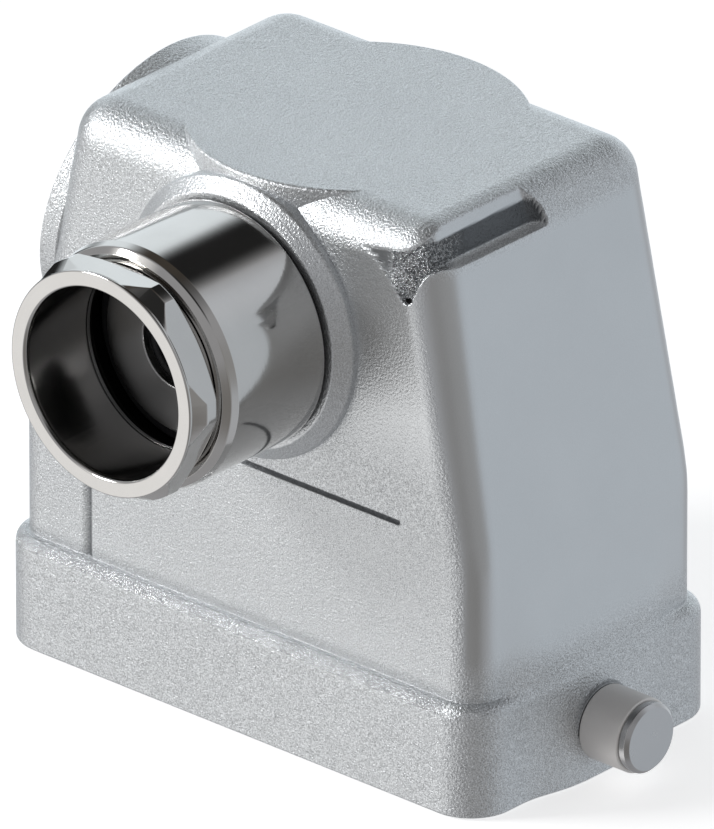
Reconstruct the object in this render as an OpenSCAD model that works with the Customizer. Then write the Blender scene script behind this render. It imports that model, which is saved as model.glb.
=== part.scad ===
// Hood of a heavy duty rectangular connector, with its side cable gland, locking pegs and contact insert.
// Frame: origin at the middle of the mating face, +X along the long side, -Y towards the gland, +Z up.

/* [Contact insert] */
// Number of contacts in a row
contacts = 5; // [3:1:6]
// Spacing of the contacts along a row
contact_pitch = 9; // [8.6:0.1:9.6]
// Spacing of the two rows
row_span = 13; // [12:0.1:14]
// Plastic beyond the contacts at each end of the terminal block
terminal_end = 2; // [1.5:0.1:3]
// Plastic beyond each row at the sides of the terminal block
terminal_side = 7; // [6:0.1:8]
// Height of the terminal block above the flange
terminal_h = 12; // [11:0.1:13]
// Step in from the terminal block to the plug block, all round
plug_inset = 0.5; // [0.3:0.1:1]
// Height of the plug block below the flange
plug_h = 11; // [9.5:0.1:12]
// Wall of the plug block round the contact pins
plug_wall = 1.8; // [1.4:0.1:2.2]
// Depth of the recess round the contact pins
plug_recess = 8; // [6:0.1:8.6]
// Distance of the fixing screws beyond the ends of the terminal block
screw_offset = 4; // [3.8:0.1:5]
// Edge of the flange beyond the fixing screws, lengthwise
flange_end = 3.95; // [3.5:0.05:4.5]
// Edge of the flange beyond the fixing screws, crosswise
flange_side = 2.95; // [2.5:0.05:3.5]
// Thickness of the flange
flange_t = 2.6; // [2:0.1:3.2]
// Height of the insert's seat above the mating face
seat_z = 23.2; // [22:0.1:25]
// Radius of a contact pin
pin_r = 1.25; // [1:0.05:1.5]
// Radius of a contact's terminal barrel
barrel_r = 2.9; // [2.6:0.1:3.2]
// Radius of the wire hole in a terminal barrel
wire_r = 1.7; // [1.2:0.1:2]
// Clearance between the flange and the hood's wall
insert_clear = 0.6; // [0.3:0.05:0.8]

/* [Hood] */
// Wall thickness of the body
wall = 2.8; // [2.2:0.1:3]
// Height at which the end walls start to lean inwards
bend_z = 31; // [28:0.5:34]
// Overall height of the hood
hood_h = 71.7; // [70:0.1:76]
// Lean of the end walls above the bend, in degrees
lean = 10.84; // [8:0.01:12]
// How far the long walls lean in, in all, from the bend to the top
side_draft = 0.35; // [0:0.05:0.8]
// Rounding of the top edges
top_r = 5.3; // [4.5:0.1:6]
// Ledge between the body wall and the skirt face
ledge = 1.65; // [1:0.05:2]
// Height of the skirt, up to the foot of the body wall
skirt_h = 15.3; // [14:0.1:17]
// Corner radius of the skirt in plan
skirt_r = 5.8; // [5.2:0.1:7]
// Rounding of the skirt's top edge
skirt_edge_r = 1.7; // [1:0.1:2]
// Wall thickness of the skirt
skirt_wall = 3; // [2.4:0.1:3.4]
// Thickness of the skirt's roof under the ledge
skirt_roof = 2; // [1.6:0.1:2.4]
// Width, at the skirt, of the blister above each peg
blister_foot = 22; // [16:0.5:26]
// Width of that blister where it runs out in the end wall
blister_head = 30; // [27:0.5:32]

/* [Entry bosses] */
// How far the round top-entry boss reaches past the long walls
lobe_reach = 0.45; // [0.2:0.05:0.8]
// Depth of the top-entry boss below the top
lobe_depth = 16; // [10:0.5:24]
// Gap between the gland boss and the top
entry_drop = 1; // [0.6:0.1:4]
// How much larger the side-entry boss is than the gland boss, in radius
disc_more = 1.1; // [-1:0.1:1.1]
// Height of the side-entry boss above its wall
disc_proud = 1.13; // [0.6:0.01:2]
// Depth of the side-entry boss's rim into the body, seen where the body's top edge falls away from it
disc_depth = 8; // [2:0.5:9]
// Rim of the gland boss round the gland body
boss_rim = 2.35; // [1.5:0.05:3]
// Height of the gland boss above its wall
boss_proud = 0.55; // [0.3:0.05:1]
// Height of the gland boss's sloping rim
boss_slope = 1.5; // [1:0.1:2]

/* [Corner notch] */
// Depth of the notch floor below the top
notch_depth = 4.9; // [3.5:0.1:6]
// Depth of the notch into the end wall, at its floor
notch_in = 1.6; // [1:0.1:2.4]
// Lean of the notch's back wall, in degrees
notch_lean = 15; // [8:1:18]
// Depth of the notch into the long wall, at the corner
notch_side = 0.6; // [0.2:0.05:0.8]
// Length over which the notch runs out along the long wall
notch_run = 9; // [6:0.5:12]
// Rounding of the notch's back wall round the corner
notch_r = 3.4; // [2.5:0.1:4]
// Place of the notch's closed end, from the middle of the end wall
notch_end = 0.4; // [-2:0.1:3]
// Rounding of the notch's closed end
notch_end_r = 2; // [1:0.1:2.4]
// Depth of the drain below the notch floor
drain_depth = 4.1; // [2:0.1:5]
// Width of the drain's bottom
drain_w = 1.2; // [0.6:0.1:2]

/* [Marking grooves] */
// Width and depth of the plain grooves on the front wall
groove = 0.5; // [0.3:0.1:0.8]
// Height of the level groove
groove_z = 34.1; // [32:0.1:36]
// Left end of the level groove
groove_start_x = -5; // [-10:0.5:0]
// Right end of the level groove
groove_end_x = 24; // [16:0.5:26]
// Place of the upright groove
groove_x = -24.7; // [-27:0.1:-20]

/* [Cable gland] */
// Radius of the hole for the cable in the seal
cable_r = 4.5; // [3:0.1:5]
// Radius of the hole in the washers on both sides of the seal
washer_hole_r = 5.1; // [5.1:0.1:7]
// Thickness of those washers
seal_washer_t = 1.2; // [0.8:0.1:1.6]
// Ring of the seal left bare round those washers
seal_bare = 1.9; // [1:0.1:2.2]
// Length of the seal
seal_l = 5.5; // [4:0.1:6]
// Travel left for squeezing the seal
squeeze = 1.8; // [1.5:0.1:2.6]
// Wall behind the seal chamber
chamber_wall = 1; // [0.8:0.1:1.5]
// Step from the female thread in to the seal chamber
chamber_step = 0.2; // [0.1:0.1:0.6]
// Radius of the gland's male thread
gland_thread_r = 12.3; // [11:0.1:12.4]
// Length of the gland's male thread
gland_thread_l = 8.6; // [7:0.1:9]
// Radius of the cable passage through the male thread
passage_r = 9.2; // [8:0.1:9.6]
// Seat of the gland body round its male thread
gland_seat = 2.85; // [2.4:0.05:3.2]
// Wall of the polished gland body round the female thread
gland_wall = 2.1; // [1.8:0.05:2.4]
// Depth of the long bevel at the front of the gland body
gland_bevel = 0.8; // [0.5:0.1:1]
// Length of that bevel
gland_bevel_l = 1.7; // [1.2:0.1:2.4]
// Thickness of the gasket under the gland body
gasket_t = 0.6; // [0.4:0.1:1]

/* [Pressure screw] */
// Length of the pressure screw's thread inside the gland body
screw_thread_l = 5.8; // [4.8:0.1:6]
// Wall of the hollow pressure screw
screw_wall = 1.3; // [1:0.1:1.8]
// Gap between the hexagon and the gland body
screw_gap = 0.95; // [0.95:0.05:1.6]
// Shoulder of the hexagon's flats past the screw's thread
hex_shoulder = 0.5; // [0.4:0.1:1.5]
// Reach of the turned-down corners past the flats
hex_corner = 1.4; // [1.2:0.1:1.7]
// Reach of the round front rim past the flats
hex_rim = 0.4; // [0.1:0.1:0.8]
// Length of the bevel between the front rim and the corners
hex_slope = 1.4; // [1:0.1:2]
// Length of the hexagon with its front rim
hex_l = 4.4; // [4:0.1:6]
// Turn of the hexagon at rest, in degrees
hex_turn = 1; // [0:1:59]
// Thickness of the slip ring at the end of the screw
slip_ring_t = 0.5; // [0.4:0.1:0.8]

/* [Locking pegs] */
// Height of the pegs above the mating face
peg_z = 6.24; // [6:0.02:7]
// Distance of the peg's end face from the skirt
peg_reach = 8.1; // [7.5:0.1:10]
// Radius of the peg's shaft
peg_r = 3; // [2.5:0.1:3.4]
// Radius of the peg's head
peg_head_r = 4.3; // [4:0.1:4.5]
// Length of the peg's head
peg_head_l = 1.3; // [1:0.1:2]
// Outer radius of the turning sleeve
sleeve_r = 4.6; // [4.4:0.1:5]
// Height of the cast boss at the foot of the peg
peg_boss_h = 0.9; // [0.5:0.1:1.5]
// Gap between that boss and the mating face
peg_boss_gap = 0.14; // [0.1:0.02:0.6]

/* [Fasteners] */
// Radius of the fixing screws' shank
fix_r = 1.95; // [1.8:0.05:2]
// Length of the fixing screws' shank
fix_l = 16; // [13:0.5:17]
// Height of the fixing screws' head
fix_head_h = 2.4; // [2:0.1:3]
// Clearance between the fixing screws' head and the hood's wall
fix_head_clear = 0.25; // [0.15:0.05:0.5]
// Thickness of the fixing washers
fix_washer_t = 0.7; // [0.5:0.1:1]
// Thickness of the earth plates
earth_t = 1; // [0.8:0.1:1.2]
// Width of the earth blade
blade_w = 6; // [4:0.5:8]
// Length of the earth blade
blade_h = 8; // [6:0.5:9]
// Radius of the small terminal and earth screws
terminal_screw_r = 1.5; // [1.25:0.05:1.6]
// Height of the terminal screws above the insert's seat
terminal_screw_h = 8; // [7:0.1:9]
// Radius of the earth screws' head
earth_head_r = 2.8; // [2.4:0.1:3.2]
// Height of the earth screws' head
earth_head_h = 2; // [1.6:0.1:2.4]

/* [Hidden] */

$fn = 48;
hull_fn = 40;
cut = 1;
run_clear = 0.05;
fit_clear = 0.03;

// The insert's outline follows from its contacts, and the hood's from the insert
terminal_l = contacts * contact_pitch + 2 * terminal_end;
terminal_w = row_span + 2 * terminal_side;
plug_l = terminal_l - 2 * plug_inset;
plug_w = terminal_w - 2 * plug_inset;
screw_span_x = terminal_l + 2 * screw_offset;
screw_span_y = terminal_w;
flange_l = screw_span_x + 2 * flange_end;
flange_w = screw_span_y + 2 * flange_side;
body_l = flange_l + 2 * (insert_clear + wall);
body_w = flange_w + 2 * (insert_clear + wall);
skirt_l = body_l + 2 * ledge;
skirt_w = body_w + 2 * ledge;
body_r = skirt_r - ledge;
top_z = hood_h - top_r;
// The end wall stays tangent to the rounding of the top edge
top_x = body_l / 2 - (top_z - bend_z) * tan(lean) - top_r / cos(lean);
top_y = body_w / 2 - side_draft - top_r;
gland_r = gland_thread_r + gland_seat;
boss_r = gland_r + boss_rim;
disc_r = boss_r + disc_more;
entry_z = hood_h - boss_r - entry_drop;
entry_x = end_wall_x(entry_z);
lobe_r = body_w / 2 + lobe_reach;
boss_edge_y = body_w / 2 + boss_proud;
boss_seat_y = boss_edge_y + boss_slope;

notch_z = hood_h - notch_depth;
notch_foot_x = end_wall_x(notch_z) - notch_in;
notch_foot_y = body_w / 2 - side_draft - notch_side;
drain_z = notch_z - drain_depth;

screw_thread_r = gland_r - gland_wall - run_clear;
hex_af = 2 * (screw_thread_r + hex_shoulder);
chamber_r = screw_thread_r - chamber_step;
gasket_y = boss_seat_y + gasket_t;
thread_end_y = boss_seat_y - gland_thread_l;
chamber_y = gasket_y + chamber_wall;
seal_y = chamber_y + seal_washer_t;
outer_washer_y = seal_y + seal_l;
screw_end_y = outer_washer_y + seal_washer_t + squeeze;
gland_front_y = screw_end_y + screw_thread_l;
hex_back_y = gland_front_y + screw_gap;
screw_front_y = hex_back_y + hex_l;
screw_bore_r = screw_thread_r - screw_wall;
corner_r = hex_af / 2 + hex_corner;
rim_r = hex_af / 2 + hex_rim;

peg_boss_r = peg_z - peg_boss_gap;
peg_boss_x = skirt_l / 2 + peg_boss_h;
peg_root_x = skirt_l / 2 - skirt_wall;
peg_end_x = skirt_l / 2 + peg_reach;
peg_neck_x = peg_end_x - peg_head_l;

flange_z = seat_z - flange_t;
plug_z = flange_z - plug_h;
pin_floor_z = plug_z + plug_recess;
pin_tip_z = plug_z + 1;
barrel_z = seat_z - 1;
terminal_screw_z = seat_z + terminal_screw_h;
fix_head_r = flange_side + insert_clear - fix_head_clear;
post_r = flange_side + insert_clear + run_clear + 0.6;
post_h = fix_l - flange_t + 1.5;
post_reach_x = body_l / 2 - wall / 2 - screw_span_x / 2;
post_reach_y = body_w / 2 - wall / 2 - screw_span_y / 2;
earth_z = flange_z - earth_t;
fix_head_z = earth_z - fix_washer_t;

cast_grey = [0.74, 0.76, 0.78];
nickel = [0.72, 0.71, 0.69];
steel = [0.66, 0.67, 0.68];
black_rubber = [0.09, 0.09, 0.1];
insert_grey = [0.32, 0.33, 0.35];
silver = [0.85, 0.85, 0.86];
zinc = [0.76, 0.77, 0.8];

// Distance of the leaning end wall from the middle, at a height above the bend
function end_wall_x(z) = body_l / 2 - (z - bend_z) * tan(lean);

// Points of a shallow arc from a to b that bulges to the right by the given height
function bulge(a, b, height) = [
    for (s = [0 : 0.125 : 1])
        a + s * (b - a) + 4 * s * (1 - s) * height * [b[1] - a[1], a[0] - b[0]] / norm(b - a)
];

// Children once in each corner of a rectangle
module at_corners(x, y) {
    for (sx = [-1, 1], sy = [-1, 1])
        translate([sx * x, sy * y, 0])
            children();
}

// Children at each contact
module at_contacts() {
    for (i = [0 : contacts - 1], side = [-1, 1])
        translate([(i - (contacts - 1) / 2) * contact_pitch, side * row_span / 2, 0])
            children();
}

// Children with local +Z along the gland axis, outwards, at a distance from the middle
module on_gland(y) {
    translate([0, -y, entry_z])
        rotate([90, 0, 0])
            children();
}

// Children with local +Z along the peg axis, outwards on the right
module on_peg(x) {
    translate([x, 0, peg_z])
        rotate([0, 90, 0])
            children();
}

module to_left() {
    mirror([1, 0, 0])
        children();
}

module rounded_rect(l, w, r) {
    square([l - 2 * r, w], center = true);
    square([l, w - 2 * r], center = true);
    at_corners(l / 2 - r, w / 2 - r)
        circle(r = r);
}

module ring(outer, inner, h) {
    difference() {
        cylinder(r = outer, h = h);
        translate([0, 0, -cut])
            cylinder(r = inner, h = h + 2 * cut);
    }
}

// Upright post with a rounded top edge
module rounded_post(r, h, edge) {
    rotate_extrude($fn = hull_fn)
        polygon(concat(
            [[0, 0], [r, 0]],
            [for (a = [0 : 15 : 90]) [r - edge + edge * cos(a), h - edge + edge * sin(a)]],
            [[0, h]]
        ));
}

// Skirt with its rounded ledge
module skirt() {
    hull()
        at_corners(skirt_l / 2 - skirt_r, skirt_w / 2 - skirt_r)
            rounded_post(skirt_r, skirt_h, skirt_edge_r);
}

// Tapered body with rounded top; a larger inset gives the parallel hollow inside
module tapered_body(inset, from_z) {
    hull() {
        translate([0, 0, from_z])
            at_corners(body_l / 2 - body_r, body_w / 2 - body_r)
                cylinder(r = body_r - inset, h = bend_z - from_z, $fn = hull_fn);
        translate([0, 0, top_z])
            at_corners(top_x, top_y)
                sphere(r = top_r - inset, $fn = hull_fn);
    }
}

// Blister that brings the end wall out to the skirt above each peg
module peg_blister() {
    thin = 0.1;
    low_z = skirt_h - skirt_edge_r - cut;
    hull() {
        translate([body_l / 2 - wall / 2, -blister_head / 2, low_z])
            cube([wall / 2, blister_head, bend_z - skirt_h]);
        translate([skirt_l / 2 - thin, -blister_foot / 2, low_z])
            cube([thin, blister_foot, cut + thin]);
    }
}

// Cast boss at the foot of a peg, with a hollow flare onto the skirt
module peg_boss() {
    tip_r = sleeve_r + 0.1;
    on_peg(skirt_l / 2)
        rotate_extrude()
            polygon(concat(
                [[0, -cut], [peg_boss_r, -cut]],
                [for (a = [0 : 15 : 90])
                    [peg_boss_r - (peg_boss_r - tip_r) * sin(a), peg_boss_h * (1 - cos(a))]],
                [[0, peg_boss_h]]
            ));
}

// Round boss for the cable gland: thickened inside, with a sloping rim outside
module gland_boss() {
    back_y = body_w / 2 - wall;
    on_gland(0)
        rotate_extrude()
            polygon([
                [0, thread_end_y],
                [gland_r, thread_end_y],
                [gland_r, back_y],
                [boss_r, back_y],
                [boss_r, boss_edge_y],
                [gland_r + 0.55, boss_seat_y],
                [0, boss_seat_y]
            ]);
}

// Flat round boss on the leaning left wall
module entry_disc() {
    translate([-entry_x, 0, entry_z])
        rotate([0, -90 + lean, 0])
            translate([0, 0, -disc_depth])
                cylinder(r = disc_r, h = disc_proud + disc_depth);
}

// Threaded posts for the insert's fixing screws, each tied to both walls
module screw_post() {
    translate([screw_span_x / 2, screw_span_y / 2, seat_z])
        linear_extrude(post_h) {
            circle(r = post_r);
            translate([0, -post_r])
                square([post_reach_x, 2 * post_r]);
            translate([-post_r, 0])
                square([2 * post_r, post_reach_y]);
        }
}

module screw_posts() {
    for (mx = [0, 1], my = [0, 1])
        mirror([mx, 0, 0])
            mirror([0, my, 0])
                screw_post();
}

// What stays behind the corner notch: its leaning back wall, rounded at the corner
module notch_core() {
    rise = hood_h + cut - drain_z;
    lean_in = rise * tan(notch_lean);
    side_in = 0.045 * rise;
    low_x = notch_foot_x + (notch_z - drain_z) * tan(notch_lean) - notch_r;
    low_y = notch_foot_y + 0.1 - notch_r;
    far_y = low_y + notch_r + low_x * notch_side / notch_run;
    hull() {
        translate([low_x, -low_y, drain_z - cut])
            cylinder(r = notch_r, h = cut, $fn = hull_fn);
        translate([low_x - lean_in, -low_y + side_in, hood_h + cut])
            cylinder(r = notch_r, h = cut, $fn = hull_fn);
        translate([0, -far_y, drain_z - cut])
            cube([cut, body_w / 2 + far_y - cut, cut]);
        translate([0, -far_y + side_in, hood_h + cut])
            cube([cut, body_w / 2 + far_y - side_in - cut, cut]);
        translate([low_x + notch_r - cut, body_w / 2 - cut, drain_z - cut])
            cube(cut);
        translate([low_x + notch_r - cut - lean_in, body_w / 2 - cut, hood_h + cut])
            cube(cut);
    }
}

// Drain of the notch: a V with round shoulders, seen along the corner's diagonal
module drain_outline() {
    middle = (body_l / 2 - body_w / 2 - (drain_z - bend_z) * tan(lean)) / sqrt(2) - 2.9;
    left = [middle - 5.2, notch_z + 1.2];
    right = [middle + 4.4, notch_z];
    polygon(concat(
        bulge(left, [middle - drain_w / 2, drain_z], -0.8),
        bulge([middle + drain_w / 2, drain_z], right, -1.2),
        [[right[0], hood_h + cut], [left[0], hood_h + cut]]
    ));
}

// Recess round the right front corner, under the top edge, with its drain at the corner
module corner_notch() {
    slot_x = notch_foot_x - (hood_h - notch_z) * tan(notch_lean);
    difference() {
        union() {
            translate([0, 0, notch_z])
                linear_extrude(notch_depth + cut)
                    difference() {
                        translate([slot_x, -skirt_w / 2])
                            square([skirt_l / 2 - slot_x, skirt_w / 2 + notch_end]);
                        translate([slot_x, notch_end - notch_end_r])
                            difference() {
                                square(notch_end_r + cut);
                                translate([notch_end_r, 0])
                                    circle(r = notch_end_r);
                            }
                    }
            rotate([90, 0, 45])
                translate([0, 0, body_l / 3])
                    linear_extrude(body_l / 3)
                        drain_outline();
        }
        notch_core();
    }
}

// Plain frame of the marking field: one level and one upright groove
module marking_grooves() {
    translate([groove_start_x, -body_w / 2 - cut, groove_z])
        cube([groove_end_x - groove_start_x, groove + cut, groove]);
    translate([groove_x, -body_w / 2 - cut, skirt_h])
        cube([groove, groove + cut, groove_z - skirt_h]);
}

module hood() {
    color(cast_grey)
        difference() {
            union() {
                difference() {
                    union() {
                        skirt();
                        tapered_body(0, skirt_h - skirt_roof - cut);
                        translate([0, 0, hood_h - lobe_depth])
                            cylinder(r = lobe_r, h = lobe_depth);
                        entry_disc();
                        peg_blister();
                        to_left()
                            peg_blister();
                    }
                    translate([0, 0, -cut])
                        linear_extrude(skirt_h - skirt_roof + cut)
                            rounded_rect(skirt_l - 2 * skirt_wall, skirt_w - 2 * skirt_wall, skirt_r - skirt_wall);
                    tapered_body(wall, skirt_h - skirt_roof - cut);
                    corner_notch();
                    marking_grooves();
                }
                gland_boss();
                peg_boss();
                to_left()
                    peg_boss();
                screw_posts();
            }
            on_gland(thread_end_y - cut)
                cylinder(r = gland_thread_r + 2 * run_clear, h = gland_thread_l + 2 * cut);
            on_peg(peg_root_x - cut)
                cylinder(r = peg_r + fit_clear, h = skirt_wall + peg_boss_h + 2 * cut);
            to_left()
                on_peg(peg_root_x - cut)
                    cylinder(r = peg_r + fit_clear, h = skirt_wall + peg_boss_h + 2 * cut);
            at_corners(screw_span_x / 2, screw_span_y / 2)
                translate([0, 0, seat_z - cut])
                    cylinder(r = fix_r + fit_clear, h = fix_l - flange_t - fix_washer_t - earth_t + cut + 0.5);
        }
}

// Steel peg: shaft pressed into the skirt and a chamfered head that keeps the sleeve
module locking_peg() {
    chamfer = 0.25;
    color(steel) {
        on_peg(peg_root_x)
            cylinder(r = peg_r, h = peg_neck_x - peg_root_x);
        on_peg(peg_neck_x)
            cylinder(r = peg_head_r, h = peg_head_l - chamfer);
        on_peg(peg_end_x - chamfer)
            cylinder(r1 = peg_head_r, r2 = peg_head_r - chamfer, h = chamfer);
    }
}

// Sleeve that turns on the peg between the cast boss and the head
module sleeve() {
    color(steel)
        on_peg(peg_boss_x + run_clear)
            ring(sleeve_r, peg_r + run_clear, peg_neck_x - peg_boss_x - 2 * run_clear);
}

module gland_gasket() {
    color(black_rubber)
        on_gland(boss_seat_y)
            ring(gland_r - 0.4, gland_thread_r + 2 * run_clear, gasket_t);
}

// Turned gland body: male thread, seal chamber, female thread for the pressure screw, long front bevel
module gland_body() {
    front = gland_front_y - gasket_y;
    floor = chamber_wall;
    color(nickel)
        on_gland(gasket_y)
            rotate_extrude()
                polygon([
                    [passage_r, thread_end_y - gasket_y],
                    [gland_thread_r, thread_end_y - gasket_y],
                    [gland_thread_r, 0],
                    [gland_r - 0.2, 0],
                    [gland_r, 0.2],
                    [gland_r, front - gland_bevel_l],
                    [gland_r - gland_bevel, front],
                    [screw_thread_r + run_clear, front],
                    [screw_thread_r + run_clear, screw_end_y - gasket_y - 1.5],
                    [chamber_r + run_clear, screw_end_y - gasket_y - 1.5],
                    [chamber_r + run_clear, floor],
                    [passage_r, floor]
                ]);
}

module seal_washer(y) {
    color(steel)
        on_gland(y)
            ring(chamber_r - seal_bare, washer_hole_r, seal_washer_t);
}

// Rubber seal that the washers squeeze onto the cable
module gland_seal() {
    color(black_rubber)
        on_gland(seal_y)
            ring(chamber_r, cable_r, seal_l);
}

module slip_ring() {
    color(nickel)
        on_gland(screw_end_y)
            ring(screw_thread_r - 0.1, screw_bore_r, slip_ring_t);
}

// Hexagon with corners turned down on both sides, a round front rim, and a hollow threaded shank
module pressure_screw() {
    rim_h = 0.4;
    back_h = (corner_r - hex_af / 2) * tan(30);
    shank_l = screw_thread_l - slip_ring_t - run_clear + screw_gap;
    bevel = 0.5;
    color(nickel)
        on_gland(hex_back_y)
            difference() {
                union() {
                    intersection() {
                        rotate([0, 0, hex_turn])
                            cylinder(r = hex_af / 2 / cos(30), h = hex_l, $fn = 6);
                        rotate_extrude()
                            polygon([
                                [0, 0],
                                [hex_af / 2, 0],
                                [corner_r, back_h],
                                [corner_r, hex_l - rim_h - hex_slope],
                                [rim_r, hex_l - rim_h],
                                [0, hex_l - rim_h]
                            ]);
                    }
                    translate([0, 0, hex_l - rim_h - cut])
                        cylinder(r = rim_r, h = rim_h + cut);
                    translate([0, 0, -shank_l])
                        cylinder(r = screw_thread_r, h = shank_l + cut);
                }
                translate([0, 0, -shank_l - cut])
                    cylinder(r = screw_bore_r, h = shank_l + hex_l + 2 * cut);
                translate([0, 0, hex_l - bevel])
                    cylinder(r1 = screw_bore_r, r2 = screw_bore_r + bevel, h = bevel);
            }
}

// Moulded insert: plug block with a recess for the pins, flange with screw holes, terminal block
module insert_body() {
    ear_x = screw_span_x / 2;
    color(insert_grey)
        difference() {
            union() {
                translate([0, 0, flange_z])
                    linear_extrude(flange_t)
                        rounded_rect(flange_l, flange_w, 3);
                translate([0, 0, plug_z])
                    linear_extrude(plug_h)
                        rounded_rect(plug_l, plug_w, 2);
                translate([0, 0, seat_z])
                    linear_extrude(terminal_h)
                        rounded_rect(terminal_l, terminal_w, 1.5);
            }
            for (side = [-1, 1])
                translate([0, side * row_span / 2, plug_z - cut])
                    linear_extrude(plug_recess + cut)
                        rounded_rect(plug_l - 2 * plug_wall, row_span - plug_wall, 1.5);
            at_contacts() {
                translate([0, 0, plug_z])
                    cylinder(r = pin_r + 0.6 + fit_clear, h = plug_h + flange_t);
                translate([0, 0, barrel_z])
                    cylinder(r = barrel_r + fit_clear, h = terminal_h + 2 * cut);
            }
            at_contacts_outward()
                translate([0, 0, barrel_r - 1])
                    cylinder(r = terminal_screw_r + 0.9, h = terminal_w);
            at_corners(ear_x, screw_span_y / 2)
                translate([0, 0, flange_z - cut])
                    cylinder(r = fix_r + 0.2, h = flange_t + 2 * cut);
            for (side = [-1, 1])
                translate([side * ear_x, 0, flange_z - cut])
                    cylinder(r = terminal_screw_r + 0.2, h = flange_t + 2 * cut);
        }
}

// Children at each terminal, with local +Z along Y, outwards
module at_contacts_outward() {
    for (i = [0 : contacts - 1], side = [-1, 1])
        translate([(i - (contacts - 1) / 2) * contact_pitch, side * row_span / 2, terminal_screw_z])
            rotate([-side * 90, 0, 0])
                children();
}

// Turned contacts: round-nosed pin, shoulder and hollow terminal barrel
module contact_pins() {
    nose = 0.5;
    barrel_h = terminal_h - 1;
    color(silver)
        difference() {
            at_contacts() {
                translate([0, 0, pin_tip_z + nose])
                    cylinder(r = pin_r, h = pin_floor_z - pin_tip_z - nose);
                translate([0, 0, pin_tip_z])
                    cylinder(r1 = pin_r - nose, r2 = pin_r, h = nose);
                translate([0, 0, pin_floor_z])
                    cylinder(r = pin_r + 0.6, h = barrel_z - pin_floor_z);
                translate([0, 0, barrel_z])
                    cylinder(r = barrel_r, h = barrel_h);
            }
            at_contacts()
                translate([0, 0, barrel_z + 3])
                    cylinder(r = wire_r, h = barrel_h);
            at_contacts_outward()
                cylinder(r = terminal_screw_r + fit_clear, h = barrel_r + cut);
        }
}

// Slotted clamping screws in the sides of the terminal barrels
module terminal_screws() {
    head_r = terminal_screw_r + 0.7;
    color(zinc)
        at_contacts_outward()
            difference() {
                union() {
                    translate([0, 0, 0.9])
                        cylinder(r = terminal_screw_r, h = barrel_r);
                    translate([0, 0, barrel_r + 0.3])
                        cylinder(r = head_r, h = 1.4);
                }
                translate([-head_r - cut, -0.3, barrel_r + 1])
                    cube([2 * (head_r + cut), 0.6, 2]);
            }
}

// Earth plate under one end of the flange, with a blade towards the mating side
module earth_plate() {
    plate_x = plug_l / 2 + 0.4;
    plate_l = flange_l / 2 - plate_x - 0.3;
    color(silver)
        difference() {
            union() {
                translate([plate_x, -flange_w / 2 + 0.6, earth_z])
                    cube([plate_l, flange_w - 1.2, earth_t]);
                translate([plate_x, -blade_w / 2, earth_z - blade_h])
                    cube([earth_t, blade_w, blade_h + earth_t]);
            }
            at_corners(screw_span_x / 2, screw_span_y / 2)
                translate([0, 0, earth_z - cut])
                    cylinder(r = fix_r + 0.1, h = earth_t + 2 * cut);
            translate([screw_span_x / 2, 0, earth_z - cut])
                cylinder(r = terminal_screw_r + fit_clear, h = earth_t + 2 * cut);
        }
}

// Earth screws: head on the wiring side, shank through flange and plate
module earth_screws() {
    slot = [0.7, 2 * earth_head_r + cut, earth_head_h];
    color(zinc)
        for (side = [-1, 1])
            translate([side * screw_span_x / 2, 0, 0])
                difference() {
                    union() {
                        translate([0, 0, earth_z])
                            cylinder(r = terminal_screw_r, h = earth_t + flange_t + 0.1);
                        translate([0, 0, seat_z])
                            cylinder(r = earth_head_r, h = earth_head_h);
                    }
                    translate([-slot[0] / 2, -slot[1] / 2, seat_z + 0.6 * earth_head_h])
                        cube(slot);
                }
}

module fixing_washers() {
    color(zinc)
        at_corners(screw_span_x / 2, screw_span_y / 2)
            translate([0, 0, fix_head_z])
                ring(fix_head_r, fix_r + 0.1, fix_washer_t);
}

// Captive cheese-head screws, driven from the mating side into the posts
module fixing_screws() {
    slot_w = 0.9;
    color(zinc)
        at_corners(screw_span_x / 2, screw_span_y / 2)
            difference() {
                union() {
                    translate([0, 0, fix_head_z - fix_head_h])
                        cylinder(r = fix_head_r, h = fix_head_h);
                    translate([0, 0, fix_head_z - 0.1])
                        cylinder(r = fix_r, h = fix_l);
                }
                translate([-slot_w / 2, -fix_head_r - cut, fix_head_z - fix_head_h - cut])
                    cube([slot_w, 2 * (fix_head_r + cut), 1 + cut]);
            }
}

hood();
locking_peg();  // locking_peg_right
to_left() locking_peg();  // locking_peg_left
sleeve();  // sleeve_right
to_left() sleeve();  // sleeve_left
gland_gasket();
gland_body();
seal_washer(chamber_y);  // inner_washer
gland_seal();
seal_washer(outer_washer_y);  // outer_washer
slip_ring();
pressure_screw();
insert_body();
contact_pins();
terminal_screws();
earth_plate();  // earth_plate_right
to_left() earth_plate();  // earth_plate_left
earth_screws();
fixing_washers();
fixing_screws();
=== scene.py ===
import math

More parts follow.
